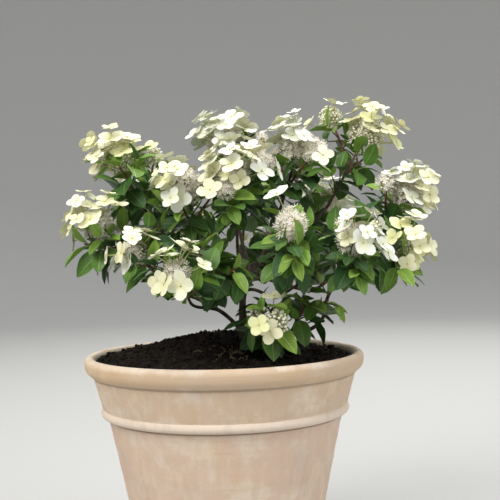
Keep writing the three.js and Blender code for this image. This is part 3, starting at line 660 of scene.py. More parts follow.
LOW_STEM = {"name": "low_stem", "leaves": "trunk", "share": 0.12, "rise": 3, "tip": (0.141, -0.022, 0.358),
            "way": (0.55, 0, 0.83), "girth": (0.0032, 0.0026)}
SHOOT_FACTS = ("name", "leaves", "share", "rise", "at", "lean", "stem", "head", "florets", "sides", "pairs",
               "girth", "seed")
SHOOT_ROWS = [
    ("upper_left", "trunk", 0.97, 62, (-0.138, 0.020, 0.570), (165, 28), 0.096,
     (0.042, 0.019), 10, 2, 3, (0.0042, 0.0023), 174),
    ("top", "trunk", 0.97, 80, (0.106, 0.020, 0.578), (20, 18), 0.092,
     (0.052, 0.024), 12, 2, 3, (0.0042, 0.0023), 165),
    ("back", "trunk", 0.90, 58, (0.040, 0.165, 0.548), (80, 38), 0.096,
     (0.046, 0.021), 4, 2, 3, (0.0039, 0.0023), 13),
    ("left", "trunk", 0.10, 62, (-0.155, -0.060, 0.485), (192, 48), 0.092,
     (0.038, 0.017), 8, 2, 3, (0.0030, 0.0022), 154),
    ("low_front", "trunk", 0.30, 28, (0.070, -0.116, 0.358), (280, 72), 0.060,
     (0.034, 0.0155), 2, 1, 3, (0.0028, 0.0020), 178),
    ("right", "low_stem", 1.0, 84, (0.252, -0.012, 0.516), (352, 40), 0.092,
     (0.040, 0.020), 9, 2, 3, (0.0025, 0.0021), 391),
    ("centre_left", "upper_left", 0.20, 60, (-0.042, -0.070, 0.528), (250, 28), 0.088,
     (0.044, 0.020), 10, 2, 3, (0.0032, 0.0022), 266),
    ("left_back", "upper_left", 0.35, 46, (-0.118, 0.130, 0.528), (130, 42), 0.092,
     (0.044, 0.020), 4, 2, 3, (0.0030, 0.0022), 18),
    ("low_left", "left", 0.42, 40, (-0.104, -0.118, 0.450), (232, 54), 0.074,
     (0.030, 0.014), 4, 2, 3, (0.0026, 0.0020), 346),
    ("front_left", "left", 0.25, 34, (-0.050, -0.168, 0.424), (262, 62), 0.074,
     (0.032, 0.015), 3, 2, 3, (0.0026, 0.0020), 224),
    ("centre", "top", 0.16, 66, (0.022, -0.084, 0.540), (268, 20), 0.084,
     (0.044, 0.021), 11, 2, 3, (0.0032, 0.0022), 369),
    ("top_left", "top", 0.30, 64, (0.012, 0.052, 0.588), (120, 14), 0.092,
     (0.050, 0.023), 11, 2, 3, (0.0031, 0.0022), 408),
    ("right_top", "top", 0.40, 52, (0.204, 0.054, 0.598), (20, 32), 0.092,
     (0.054, 0.025), 8, 2, 3, (0.0030, 0.0022), 364),
    ("centre_front", "centre", 0.20, 36, (0.092, -0.152, 0.478), (276, 44), 0.084,
     (0.040, 0.023), 2, 2, 3, (0.0028, 0.0021), 147),
    ("centre_right", "right", 0.30, 50, (0.168, -0.132, 0.456), (290, 48), 0.072,
     (0.038, 0.018), 3, 2, 3, (0.0023, 0.0019), 147),
    ("low_right", "right", 0.42, 30, (0.232, -0.084, 0.450), (325, 62), 0.066,
     (0.036, 0.017), 6, 2, 3, (0.0022, 0.0019), 220),
    ("back_left", "back", 0.30, 40, (-0.052, 0.178, 0.474), (110, 56), 0.084,
     (0.040, 0.018), 4, 2, 3, (0.0028, 0.0021), 27),
    ("back_right", "back", 0.38, 42, (0.150, 0.158, 0.512), (50, 50), 0.090,
     (0.044, 0.020), 4, 2, 3, (0.0028, 0.0021), 28),
    ("right_back", "back", 0.20, 38, (0.214, 0.094, 0.446), (20, 56), 0.084,
     (0.038, 0.018), 4, 2, 3, (0.0028, 0.0021), 29),
    ("back_low", "back", 0.26, 44, (0.072, 0.206, 0.452), (85, 58), 0.084,
     (0.038, 0.018), 4, 2, 3, (0.0028, 0.0021), 30),
    ("under_left", "centre_left", 0.10, 34, (-0.012, -0.122, 0.434), (262, 66), 0.080,
     None, 0, 2, 4, (0.0024, 0.0020), 31),
    ("under_right", "top", 0.10, 44, (0.138, -0.080, 0.430), (318, 62), 0.088,
     None, 0, 2, 4, (0.0026, 0.0020), 32),
    ("under_low", "low_stem", 0.34, 40, (0.116, -0.080, 0.388), (304, 40), 0.074,
     None, 0, 2, 4, (0.0024, 0.0020), 297),
]
SHOOTS = [dict(zip(SHOOT_FACTS, row)) for row in SHOOT_ROWS]


def unit(way):
    return way / math.sqrt(way @ way)


def run_of(shoot, factor, extra):
    """A run of numbers of the shoot's own, for one kind of growth."""
    return seeded(shoot["seed"] * factor + extra)


def sides_of(way):
    """Two directions across the way, and across each other."""
    first = unit(across_from(way))
    return first, np.cross(way, first)


def heading(lean):
    azimuth, tilt = (math.radians(angle) for angle in lean)
    level = math.sin(tilt)
    return np.array((level * math.cos(azimuth), level * math.sin(azimuth), math.cos(tilt)))


def stem_foot(shoot):
    return np.array(shoot["at"]) - heading(shoot["lean"]) * shoot["stem"]


def on_curve(path, shares):
    """Points of a smooth curve with four governing points."""
    t = np.asarray(shares, float)[..., None]
    return ((1 - t) ** 3 * path[0] + 3 * t * (1 - t) ** 2 * path[1]
            + 3 * t ** 2 * (1 - t) * path[2] + t ** 3 * path[3])


def bough_path(start, rise, tip, way):
    span = tip - start
    chord = math.sqrt(span @ span)
    level = unit(np.array((span[0], span[1], 0.0)))
    off = level * math.cos(math.radians(rise)) + UP * math.sin(math.radians(rise))
    return [start, start + off * chord * LEAVING, tip - way * chord * ARRIVING, tip]


def grown_limbs():
    """The path and girth of the trunk and of each bough, by name."""
    foot = np.array((*FOOT, surface_at(*FOOT) - FOOT_SUNK))
    limbs = {"trunk": ([foot + step for step in TRUNK_PATH], TRUNK_GIRTH)}
    tip, way = np.array(LOW_STEM["tip"]), unit(np.array(LOW_STEM["way"]))
    start = on_curve(limbs["trunk"][0], LOW_STEM["share"])
    limbs["low_stem"] = (bough_path(start, LOW_STEM["rise"], tip, way), LOW_STEM["girth"])
    for shoot in SHOOTS:
        start = on_curve(limbs[shoot["leaves"]][0], shoot["share"])
        path = bough_path(start, shoot["rise"], stem_foot(shoot), heading(shoot["lean"]))
        limbs[shoot["name"]] = (path, shoot["girth"])
    return limbs


def furrows(points, sides, girth, depth):
    """Bark relief: long furrows along the limb, knots and fine cracks."""
    turns = np.arange(sides) * TURN / sides
    dents = np.zeros((len(points), sides))
    for i, point in enumerate(points):
        knot = max(0.0, noise.noise(Vector(point) * KNOT["scale"]) - KNOT["from"])
        high = i * FURROW["along"] + point[0] * FURROW["shift"]
        for j, turn in enumerate(turns):
            spot = Vector((math.cos(turn) * FURROW["round"], math.sin(turn) * FURROW["round"], high))
            crack = noise.noise(spot * CRACK["scale"] + Vector((0, 0, i * CRACK["along"])))
            furrow = noise.noise(spot) + CRACK["depth"] * crack
            dents[i, j] = depth * furrow + girth[i] * KNOT["size"] * knot
    return dents


limbs = grown_limbs()
wood = Joined("trunk_and_boughs")
for name, (path, girth) in limbs.items():
    is_trunk = name == "trunk"
    long = np.linalg.norm(np.diff(on_curve(path, np.linspace(0, 1, 40)), axis=0), axis=1).sum()
    count = TRUNK_RINGS if is_trunk else int(long / BOUGH_STEP)
    sides = TRUNK_SIDES if is_trunk else BOUGH_SIDES
    shares = np.linspace(0, 1, count)
    points = on_curve(path, shares)
    radii = girth[0] + (girth[1] - girth[0]) * shares
    dents = furrows(points, sides, radii, TRUNK_BARK if is_trunk else BOUGH_BARK)
    if is_trunk:
        flare = FLARE * np.exp(-shares / FLARE_SHARE)
        turns = np.arange(sides) * TURN / sides
        dents = dents + flare[:, None] * (1 + ROOT_SPREAD * np.cos(3 * turns + 0.6))[None]
        points[0, 2] -= FOOT_HIDDEN
    add_tube(wood, points, radii, sides, 0, dents)

bark = Finish("dark bark", BARK, 0.9)
ridges = bark.grain(150, stretch=(1, 1, 0.3), detail=5.0)
fine = bark.grain(700, detail=3.0)
bark.set("Base Color", bark.mix(BARK, BARK_LIGHT, (ridges * 0.8 + fine * 0.35 - 0.52).between(0, 0.24)))
bark.relief(ridges * 0.7 + fine * 0.3, 0.0012)
trunk_and_boughs = wood.piece(bark)
placed(trunk_and_boughs, "bark", "trunk", *[f"bough_{name}" for name in limbs if name != "trunk"])


# Growth of the shoots. Each bough carries one shoot: a straight main twig with side twigs, a flower head
# at the tip, papery florets on stalks round it, leaves in crossed pairs and young leaves under the head.
# Nothing grows into another shoot's room, into a limb or through what has grown before it.

GOLDEN = math.radians(137.508)
UNDERSIDE = 0.394
LOWEST = {"low_front": 0.0, "right": 0.385, "under_left": 0.376, "under_right": 0.370, "under_low": 0.318}
HEART = 0.3
APART = 0.0008
LIMB_CLEAR = 0.005
SOIL_CLEAR = 0.002
TWIG_TIP = 0.0019
TWIG_SIDE = (0.0021, 0.0017)
LEAF = {"long": (0.046, 0.066), "wide": 0.58, "fold": 0.22, "droop": 0.20}
YOUNG = {"long": (0.036, 0.056), "wide": 0.44, "fold": 0.50, "droop": 0.10}
WIDEST = 0.45
LEAF_FREE, PETIOLE, NARROWING = 0.12, 0.15, 3.2
LEAF_STATIONS = (0.3, 0.45, 0.6, 0.75, 0.9)
LEAF_TRIES = ((1, 0), (0.85, 0), (1, 0.35), (0.8, 0.5), (0.7, -0.25))
FLORET_R = (0.0175, 0.0225)
FLORET_REACH = (0.008, 0.022)
FLORET_CUP = 0.15
FLORET_SPREAD = math.radians(25)
FLORET_TRIES = ((0, 1), (0.006, 0.92), (0.012, 0.85))
FLORET_PLACE = {"turn": 0.25, "low": (0.1, 0.28), "rise": 0.65, "highest": 0.85, "tilt": 78, "closing": 50}
FLORET_FACE = {"out": 0.8, "up": 0.5, "across": 0.45, "above": 0.3}
CROWDED = 0.5
STALK_FREE = 1.2
HEAD_MIDDLE, HEAD_FREE = 0.42, 0.1
HEAD_THIN, HEAD_ROOTED = 0.05, 0.9
HEAD_SIZES = (1, 0.85, 0.7)

# How the leaves and side shoots stand: turns in radians, pitches in degrees from the twig's own way

PAIR = {"turn": 0.25, "pitch": (62, 84), "closing": 14, "roll": 0.35, "drop": (0.35, 0.95), "highest": 0.93,
        "toward": (0.6, 0.7), "largest": 1.05, "smaller": 0.25, "hanging": 1.25}
NEW = {"turn": 0.3, "flowering": (54, 76), "leafy": (35, 60), "roll": 0.3, "place": 0.88, "facing": 0.3}
LAST = {"turn": 0.2, "pitch": (14, 28), "size": 0.8, "place": 0.94}
SIDE = {"share": (0.3, 0.7), "turn": 0.3, "spread": (36, 54), "long": (0.5, 0.78), "flowering": 0.5,
        "florets": (1.4, 2.99), "scale": (0.5, 0.68), "upward": 0.22, "cuts": (1, 0.8),
        "stations": (0.4, 0.6, 0.8, 1.0)}
MAIN_GROWTH = {"lowest": 0.15, "size": 1.0, "young": 3, "floret_size": 1.0, "is_side": False}
SIDE_GROWTH = {"girth": TWIG_SIDE, "pairs": 1, "lowest": 0.55, "size": 0.85, "young": 2,
               "floret_size": 0.92, "is_side": True}

# Factors that keep the runs of numbers of one shoot apart
SIDE_RUN, SMALL_RUN, SPRIG_RUN, LEAF_RUN, PETAL_RUN, FLOWER_RUN = 10, 89, 97, 31, 53, 71

TWIG_TESTED = 0.98  # share of a twig that other growth may not cross


def leaning(way, turn, angle):
    """A direction at an angle from the way, turned round it from the side that faces up."""
    across = unit(np.cross(way, UP))
    above = np.cross(across, way)
    return way * math.cos(angle) + (above * math.cos(turn) + across * math.sin(turn)) * math.sin(angle)


class Room:
    """The room of one shoot: its own side of the faces to its neighbours, clear of limbs and compost."""

    def __init__(self, shoot, hearts, segments):
        self.own = hearts[shoot["name"]]
        self.others = [heart for name, heart in hearts.items() if name != shoot["name"]]
        self.lowest = LOWEST.get(shoot["name"], UNDERSIDE)
        self.starts, self.ends, self.radii = segments
        self.widest = None

    def holds(self, points):
        points = np.array(points)
        if points[:, 2].min() < self.lowest:
            return False
        if self.widest is not None and not ((points > self.widest[0]) & (points < self.widest[1])).all():
            return False
        own_square = ((points - self.own) ** 2).sum(1)
        for heart in self.others:
            beyond = ((points - heart) ** 2).sum(1) - own_square
            if (beyond / (2 * np.linalg.norm(heart - self.own))).min() < APART:
                return False
        for x, y, z in points:
            on_rim = math.hypot(x, y) > ROLL_R - ROLL_HALF[0]
            ground = ROLL_Z + ROLL_HALF[1] if on_rim else surface_at(x, y)
            if z < ground + SOIL_CLEAR:
                return False
        spans = self.ends - self.starts
        along = np.einsum("pij,ij->pi", points[:, None] - self.starts, spans) / (spans ** 2).sum(1)
        nearest = self.starts + np.clip(along, 0, 1)[..., None] * spans
        away = np.linalg.norm(points[:, None] - nearest, axis=2)
        return bool((away > self.radii + LIMB_CLEAR).all())


def limb_segments():
    starts, ends, radii = [], [], []
    for path, girth in limbs.values():
        points = on_curve(path, np.linspace(0, 1, LIMB_TESTED + 1))
        starts.append(points[:-1])
        ends.append(points[1:])
        radii.append(girth[0] + (girth[1] - girth[0]) * (np.arange(LIMB_TESTED) + 0.5) / LIMB_TESTED)
    return np.concatenate(starts), np.concatenate(ends), np.concatenate(radii)


def leaf_spot(leaf, share, side):
    half = leaf["long"] * leaf["wide"] / 2
    lift = leaf["fold"] * half * abs(side) - leaf["droop"] * leaf["long"] * share * share
    return (leaf["root"] + leaf["way"] * leaf["long"] * share + leaf["side"] * half * side
            + leaf["face"] * lift)


def leaf_probes(leaf):
    points = [leaf_spot(leaf, 1, 0), leaf_spot(leaf, PETIOLE, 0)]
    for share in LEAF_STATIONS:
        half = min(1, NARROWING * (1 - share))
        points.extend(leaf_spot(leaf, share, side) for side in (-half, 0, half))
    return points


def rim_spot(floret, radius, turn):
    first, second = sides_of(floret["face"])
    angle = floret["spin"] + turn
    return floret["centre"] + (first * math.cos(angle) + second * math.sin(angle)) * radius


def petal_spot(floret, share, turn):
    radius = floret["radius"] * share
    return rim_spot(floret, radius, turn) + floret["face"] * radius * FLORET_CUP


def floret_probes(floret):
    rim = [petal_spot(floret, 1, i * TURN / 12) for i in range(12)]
    return [floret["centre"], (floret["centre"] + floret["root"]) / 2, *rim]


def belt_of(head, count):
    middle = head["foot"] + head["way"] * head["long"] * HEAD_MIDDLE
    outs = [leaning(head["way"], k * TURN / count, math.pi / 2) for k in range(count)]
    return [middle + out * head["radius"] for out in outs]


def head_probes(head):
    return [head["foot"] + head["way"] * head["long"], *belt_of(head, 6)]


def sheet_of(faces, stems=()):
    """What has grown is kept as thin faces and their edges."""
    edges = [edge for a, b, c in faces for edge in ((a, b), (b, c), (c, a))] + list(stems)
    return np.array(faces, float).reshape(-1, 3, 3), np.array(edges, float).reshape(-1, 2, 3)


def leaf_sheet(leaf):
    middle = leaf_spot(leaf, WIDEST, 0)
    ends = [leaf_spot(leaf, LEAF_FREE, 0), leaf_spot(leaf, 1, 0)]
    corners = [leaf_spot(leaf, WIDEST, side) for side in (-1, 1)]
    return sheet_of([(end, corner, middle) for corner in corners for end in ends])


def floret_sheet(floret):
    petals = []
    for k in range(4):
        tips = [petal_spot(floret, 1, k * TURN / 4 + spread) for spread in (-FLORET_SPREAD, FLORET_SPREAD)]
        petals.append((floret["centre"], *tips))
    return sheet_of(petals, [(floret["centre"], floret["free"])])


def head_sheet(head):
    belt = belt_of(head, 4)
    ends = [head["foot"] + head["way"] * head["long"] * share for share in (HEAD_FREE, 1)]
    return sheet_of([(belt[k], belt[(k + 1) % 4], end) for k in range(4) for end in ends])


def pierces(edges, faces):
    """Whether any edge goes through any face."""
    if not len(edges) or not len(faces):
        return False
    starts = edges[:, None, 0]
    spans = edges[:, None, 1] - starts
    corner = faces[None, :, 0]
    first = faces[None, :, 1] - corner
    second = faces[None, :, 2] - corner
    normal = np.cross(first, second)
    facing = -(spans * normal).sum(-1)
    safe = np.where(facing == 0, 1.0, facing)
    off = starts - corner
    turned = np.cross(off, spans)
    u = (second * turned).sum(-1) / safe
    v = -(first * turned).sum(-1) / safe
    t = (off * normal).sum(-1) / safe
    return bool(((facing != 0) & (t >= 0) & (t <= 1) & (u >= 0) & (v >= 0) & (u + v <= 1)).any())


class Plan:
    """What has grown on one shoot so far."""

    def __init__(self, shoot, room):
        self.shoot = shoot
        self.room = room
        self.twigs = []
        self.leaves = []
        self.florets = []
        self.heads = []
        self.faces = np.zeros((0, 3, 3))
        self.edges = np.zeros((0, 2, 3))

    def is_free(self, probes, sheet):
        faces, edges = sheet
        return (self.room.holds(probes) and not pierces(edges, self.faces)
                and not pierces(self.edges, faces))

    def keep(self, group, thing, sheet):
        group.append(thing)
        self.faces = np.concatenate((self.faces, sheet[0]))
        self.edges = np.concatenate((self.edges, sheet[1]))


def add_leaf(plan, root, out, toward, kind, long, roll):
    for share, fall in LEAF_TRIES:
        way = unit(out - UP * fall)
        level = unit(toward - way * (toward @ way))
        beside = np.cross(level, way)
        face = level * math.cos(roll) + beside * math.sin(roll)
        side = beside * math.cos(roll) - level * math.sin(roll)
        leaf = {**kind, "root": root, "way": way, "face": face, "side": side, "long": long * share,
                "young": kind is YOUNG}
        sheet = leaf_sheet(leaf)
        if plan.is_free(leaf_probes(leaf), sheet):
            plan.keep(plan.leaves, leaf, sheet)
            return


def add_floret(plan, head, index, count, draw, size, crowded=CROWDED):
    place, look = FLORET_PLACE, FLORET_FACE
    turn = draw(-place["turn"], place["turn"])
    share = min(place["highest"], draw(*place["low"]) + place["rise"] * index / count)
    reach = draw(*FLORET_REACH)
    radius = draw(*FLORET_R) * size
    spin = draw(0, 1.57)
    across = draw(-1, 1) * look["across"]
    above = draw(-1, 1) * look["above"]
    tilt = math.radians(place["tilt"] - place["closing"] * share)
    out = leaning(head["way"], head["start"] + index * GOLDEN + turn, tilt)
    skin = head["radius"] * math.sqrt(max(HEAD_THIN, 1 - share * share))
    root = head["foot"] + head["way"] * head["long"] * share * HEAD_ROOTED
    beside = unit(np.cross(out, UP))
    level = out * look["out"] + UP * look["up"]
    face = unit(level + beside * across + np.cross(beside, out) * above)
    for push, scale in FLORET_TRIES:
        floret = {"root": root, "centre": root + out * (skin + reach + push),
                  "free": root + out * skin * STALK_FREE, "face": face, "spin": spin,
                  "radius": radius * scale}
        apart = all(np.linalg.norm(floret["centre"] - other["centre"])
                    >= crowded * (floret["radius"] + other["radius"]) for other in plan.florets)
        sheet = floret_sheet(floret)
        if apart and plan.is_free(floret_probes(floret), sheet):
            plan.keep(plan.florets, floret, sheet)
            return


def turned_up(way, kind):
    """Where the upper faces of a kind of leaf turn: along the twig and up."""
    return way * kind["toward"][0] + UP * kind["toward"][1]


def grow_pairs(plan, twig):
    draw, foot, way, long = twig["draw"], twig["foot"], twig["way"], twig["long"]
    start = draw(0, TURN)
    toward = turned_up(way, PAIR)
    for pair in range(twig["pairs"]):
        share = twig["lowest"] + (PAIR["highest"] - twig["lowest"]) * pair / twig["pairs"]
        for flip in (0, 1):
            turn = start + pair * TURN / 4 + flip * TURN / 2 + draw(-PAIR["turn"], PAIR["turn"])
            pitch = math.radians(draw(*PAIR["pitch"]) - PAIR["closing"] * share)
            length = draw(*LEAF["long"]) * twig["size"] * (PAIR["largest"] - PAIR["smaller"] * share)
            roll = draw(-PAIR["roll"], PAIR["roll"])
            drop = draw(*PAIR["drop"]) * (PAIR["hanging"] - share)
            out = unit(leaning(way, turn, pitch) - UP * drop)
            add_leaf(plan, foot + way * long * share, out, toward, LEAF, length, roll)


def grow_young(plan, twig):
    draw, foot, way, long = twig["draw"], twig["foot"], twig["way"], twig["long"]
    start = draw(0, TURN)
    root, toward = foot + way * long * NEW["place"], way + UP * NEW["facing"]
    for i in range(twig["young"]):
        turn = start + i * TURN / twig["young"] + draw(-NEW["turn"], NEW["turn"])
        pitch = math.radians(draw(*NEW["flowering" if "bloom" in twig else "leafy"]))
        length = draw(*YOUNG["long"]) * twig["size"]
        roll = draw(-NEW["roll"], NEW["roll"])
        add_leaf(plan, root, leaning(way, turn, pitch), toward, YOUNG, length, roll)


def grow_last(plan, twig):
    draw, foot, way, long = twig["draw"], twig["foot"], twig["way"], twig["long"]
    root, toward = foot + way * long * LAST["place"], way + UP * NEW["facing"]
    for flip in (0, 1):
        turn = twig["start"] + flip * TURN / 2 + draw(-LAST["turn"], LAST["turn"])
        pitch = math.radians(draw(*LAST["pitch"]))
        length = draw(*YOUNG["long"]) * twig["size"] * LAST["size"]
        add_leaf(plan, root, leaning(way, turn, pitch), toward, YOUNG, length, 0.0)


def side_twig(plan, main, start, index):
    """A side shoot springs from the main twig and turns up a little."""
    shoot = plan.shoot
    draw = run_of(shoot, SIDE_RUN, index + 1)
    share = draw(*SIDE["share"])
    turn = start + index * GOLDEN + draw(-SIDE["turn"], SIDE["turn"])
    spread = math.radians(draw(*SIDE["spread"]))
    long = shoot["stem"] * draw(*SIDE["long"])
    flowers = draw(0, 1) < SIDE["flowering"] and shoot["head"]
    florets = int(draw(*SIDE["florets"]))
    scale = draw(*SIDE["scale"])
    way = unit(leaning(main["way"], turn, spread) + UP * SIDE["upward"])
    foot = main["foot"] + main["way"] * shoot["stem"] * share
    for cut in SIDE["cuts"]:
        if plan.room.holds([foot + way * long * cut * reach for reach in SIDE["stations"]]):
            head = tuple(size * scale for size in shoot["head"]) if flowers else None
            return {**SIDE_GROWTH, "draw": draw, "foot": foot, "way": way, "long": long * cut,
                    "head": head, "florets": florets}
    return None


def add_head(plan, twig):
    """The flower head at the tip of a twig, as large as there is room for."""
    twig["start"] = twig["draw"](0, TURN)
    tip = twig["foot"] + twig["way"] * twig["long"]
    for size in HEAD_SIZES if twig["head"] else ():
        head = {"foot": tip, "way": twig["way"], "long": twig["head"][0] * size,
                "radius": twig["head"][1] * size, "start": twig["start"]}
        sheet = head_sheet(head)
        if plan.is_free(head_probes(head), sheet):
            plan.keep(plan.heads, head, sheet)
            twig["bloom"] = head
            return


def grown_shoot(shoot, room):
    """The twigs come first, then the heads, the florets, and the leaves where there is room left."""
    plan = Plan(shoot, room)
    way = heading(shoot["lean"])
    draw = seeded(shoot["seed"])
    main = {**MAIN_GROWTH, "draw": draw, "foot": stem_foot(shoot) + way * GAP, "way": way,
            "long": shoot["stem"] - GAP, "girth": (shoot["girth"][1], TWIG_TIP), "pairs": shoot["pairs"],
            "head": shoot["head"], "florets": shoot["florets"]}
    start = draw(0, TURN)
    plan.twigs.append(main)
    for index in range(shoot["sides"]):
        twig = side_twig(plan, main, start, index)
        if twig:
            plan.twigs.append(twig)
    for twig in plan.twigs:
        edge = (twig["foot"], twig["foot"] + twig["way"] * twig["long"] * TWIG_TESTED)
        plan.edges = np.concatenate((plan.edges, np.array([edge])))
    for twig in plan.twigs:
        add_head(plan, twig)
    for twig in plan.twigs:
        for index in range(twig["florets"] if "bloom" in twig else 0):
            add_floret(plan, twig["bloom"], index, twig["florets"], twig["draw"], twig["floret_size"])
    for twig in plan.twigs:
        grow_young(plan, twig)
        if not (twig["is_side"] and "bloom" in twig):
            grow_pairs(plan, twig)
        if not twig["is_side"] and "bloom" not in twig:
            grow_last(plan, twig)
    return plan


hearts = {shoot["name"]: np.array(shoot["at"]) - heading(shoot["lean"]) * shoot["stem"] * HEART
          for shoot in SHOOTS}
segments = limb_segments()
plans = [grown_shoot(shoot, Room(shoot, hearts, segments)) for shoot in SHOOTS]

# Smaller florets open between the first ones, and short leafy sprigs fill the room that is left. They pass
# the same tests.

SMALL_TRIED = 7  # small florets tried for each one of the first
SMALL_SIZE = (0.70, 0.96)
SMALL_CROWDED = 0.38
SMALL_SEED = 4000
SMALL_FROM = 3  # florets that a head has, at least, where smaller ones open too
BEYOND = 0.005  # how far past the first growth they may reach
WIDEST_BOX = np.array(solid_box) + np.array([[-BEYOND], [BEYOND]])

SPRIGS = {"main": 8, "side": 5}  # tried on each twig
SPRIG = {"share": (0.12, 0.86), "turn": 0.5, "long": (0.016, 0.036), "pitch": (44, 72), "upward": 0.15,
         "girth": (0.0013, 0.0009), "free": 0.003, "size": (0.62, 0.92), "young_from": 0.7}
SPRIG_PAIR = {"place": 0.6, "pitch": (48, 78), "drop": (0.1, 0.6), "hanging": 1.2, "toward": (0.5, 0.7),
              "roll": 0.3}
SPRIG_TIP = {"place": 0.96, "pitch": (22, 46), "toward": (0.6, 0.6), "roll": 0.2}
SPRIG_SEED = 7000


def add_sprig(plan, twig, index, number):
    """A short shoot with a pair of leaves on its side and a crossed pair at its tip."""
    draw = run_of(plan.shoot, SPRIG_RUN, SPRIG_SEED + number)
    share = draw(*SPRIG["share"])
    turn = twig["start"] + index * GOLDEN + draw(-SPRIG["turn"], SPRIG["turn"])
    long = draw(*SPRIG["long"])
    pitch = math.radians(draw(*SPRIG["pitch"]))
    way = unit(leaning(twig["way"], turn, pitch) + UP * SPRIG["upward"])
    foot = twig["foot"] + twig["way"] * twig["long"] * share
    root, end = foot + way * long * SPRIG_PAIR["place"], foot + way * long * SPRIG_TIP["place"]
    tip = foot + way * long
    stem = (np.zeros((0, 3, 3)), np.array([[foot + way * SPRIG["free"], tip]]))
    if not plan.is_free([root, tip], stem):
        return
    start = draw(0, TURN)
    sprig = {"draw": draw, "foot": foot, "way": way, "long": long, "girth": SPRIG["girth"],
             "is_sprig": True, "start": start}
    plan.keep(plan.twigs, sprig, stem)
    size = draw(*SPRIG["size"])
    kind = LEAF if share < SPRIG["young_from"] else YOUNG
    for flip in (0, 1):
        pitch = math.radians(draw(*SPRIG_PAIR["pitch"]))
        fall = draw(*SPRIG_PAIR["drop"]) * (SPRIG_PAIR["hanging"] - share)
        out = unit(leaning(way, start + flip * TURN / 2, pitch) - UP * fall)
        length = draw(*kind["long"]) * size
        roll = draw(-SPRIG_PAIR["roll"], SPRIG_PAIR["roll"])
        add_leaf(plan, root, out, turned_up(way, SPRIG_PAIR), kind, length, roll)
    for flip in (0, 1):
        pitch = math.radians(draw(*SPRIG_TIP["pitch"]))
        out = leaning(way, start + TURN / 4 + flip * TURN / 2, pitch)
        length = draw(*YOUNG["long"]) * size
        roll = draw(-SPRIG_TIP["roll"], SPRIG_TIP["roll"])
        add_leaf(plan, end, out, turned_up(way, SPRIG_TIP), kind, length, roll)


for plan in plans:
    plan.room.widest = WIDEST_BOX
    draw = run_of(plan.shoot, SMALL_RUN, SMALL_SEED)
    for twig in plan.twigs:
        is_full = "bloom" in twig and twig["florets"] >= SMALL_FROM
        count = twig["florets"] * SMALL_TRIED if is_full else 0
        for index in range(count):
            add_floret(plan, twig["bloom"], index + 0.5, count, draw, draw(*SMALL_SIZE), SMALL_CROWDED)
    number = 0
    for twig in list(plan.twigs):
        for index in range(SPRIGS["side" if twig["is_side"] else "main"]):
            number += 1
            add_sprig(plan, twig, index, number)
masses = [f"foliage_{shoot['name']}" for shoot in SHOOTS]


# Twigs. The season's shoots, thin and round: brown and woody where they leave the bough, and redder and
# greener towards the flower and in the short sprigs.

TWIG_SIDES = 7
TWIG_STEPS, SPRIG_STEPS = 12, 5
TWIG_SWAY, SPRIG_SWAY = 0.0007, 0.0004
TWIG_HIDDEN = 0.002  # a twig starts this far inside its bough's tip
IN_HEAD, IN_HEAD_GIRTH = 0.8, 0.55  # how far a twig runs on into its flower head, and how thin
TWIG_BROWN = (0.105, 0.058, 0.032)
TWIG_RED = (0.20, 0.075, 0.040)
TWIG_GREEN = (0.15, 0.17, 0.05)

twigs = Joined("twigs")
for plan in plans:
    for twig in plan.twigs:
        is_sprig = twig.get("is_sprig", False)
        start = twig["foot"] - twig["way"] * (0 if is_sprig else TWIG_HIDDEN)
        long = twig["long"] + (twig["bloom"]["long"] * IN_HEAD if "bloom" in twig else 0.001)
        shares = np.linspace(0, 1, SPRIG_STEPS if is_sprig else TWIG_STEPS)
        aside = leaning(twig["way"], twig["start"], math.pi / 2)
        sway = aside * (SPRIG_SWAY if is_sprig else TWIG_SWAY)
        points = start + np.outer(shares * long, twig["way"]) + np.outer(np.sin(shares * 9), sway)
        low, high = twig["girth"]
        radii = low + (high * 0.9 - low) * shares
        if "bloom" in twig:
            radii *= np.where(shares * long > twig["long"], IN_HEAD_GIRTH, 1.0)
        kind = 2 if is_sprig else int(twig["is_side"])
        add_tube(twigs, points, radii, TWIG_SIDES, kind)

twig_finishes = []
for name, colour in (("brown twig", TWIG_BROWN), ("red shoot", TWIG_RED), ("green shoot", TWIG_GREEN)):
    finish = Finish(name, colour, 0.62)
    streaks = finish.grain(260, detail=3.0)
    darker = tuple(part * 0.55 for part in colour)
    finish.set("Base Color", finish.mix(darker, colour, streaks.between(0.36, 0.62)))
    finish.relief(streaks, 0.0004)
    twig_finishes.append(finish)
placed(twigs.piece(*twig_finishes), "bark", *masses)


# Leaves. Pointed ovals with a sunk midrib, slanting veins and a waved edge, in crossed pairs. The old
# ones are dark green and droop; the young ones under the flowers are narrow, folded and yellow-green.

LEAF_ROWS = 8
LEAF_COLUMNS = np.array((-1.0, -0.52, -0.05, 0.05, 0.52, 1.0))
RIB_COLUMN = 2  # between its two middle lines
BLADE_START = 0.10
LEAF_WAVE, WAVES = 0.07, 11
CURL, BEND, BLADE_SWAY = (-0.12, 0.16), (-0.25, 0.35), 0.06
RIB_DROP = 0.00045
PETIOLE_R = (0.0009, 0.0006)
PETIOLE_IN, PETIOLE_BOW = 0.0015, 0.008  # into the blade, and upwards as a share of the leaf
LEAF_GREENS = [
    # name, blade, rib
    ("old", (0.050, 0.128, 0.026), (0.125, 0.215, 0.060)),
    ("dark", (0.036, 0.098, 0.026), (0.100, 0.180, 0.056)),
    ("middle", (0.088, 0.195, 0.030), (0.180, 0.295, 0.075)),
    ("fresh", (0.170, 0.320, 0.042), (0.300, 0.440, 0.115)),
    ("young", (0.250, 0.420, 0.062), (0.390, 0.510, 0.150)),
]
VEINS = 9
VEIN_SLANT = 0.30
BLADE_SWELL, BLADE_TAPER = 0.56, 0.76  # how fast a blade widens at its foot and narrows to its tip
BLADE_WIDEST = 0.4242  # where along the blade that is
BLADE_LEAST = 0.015
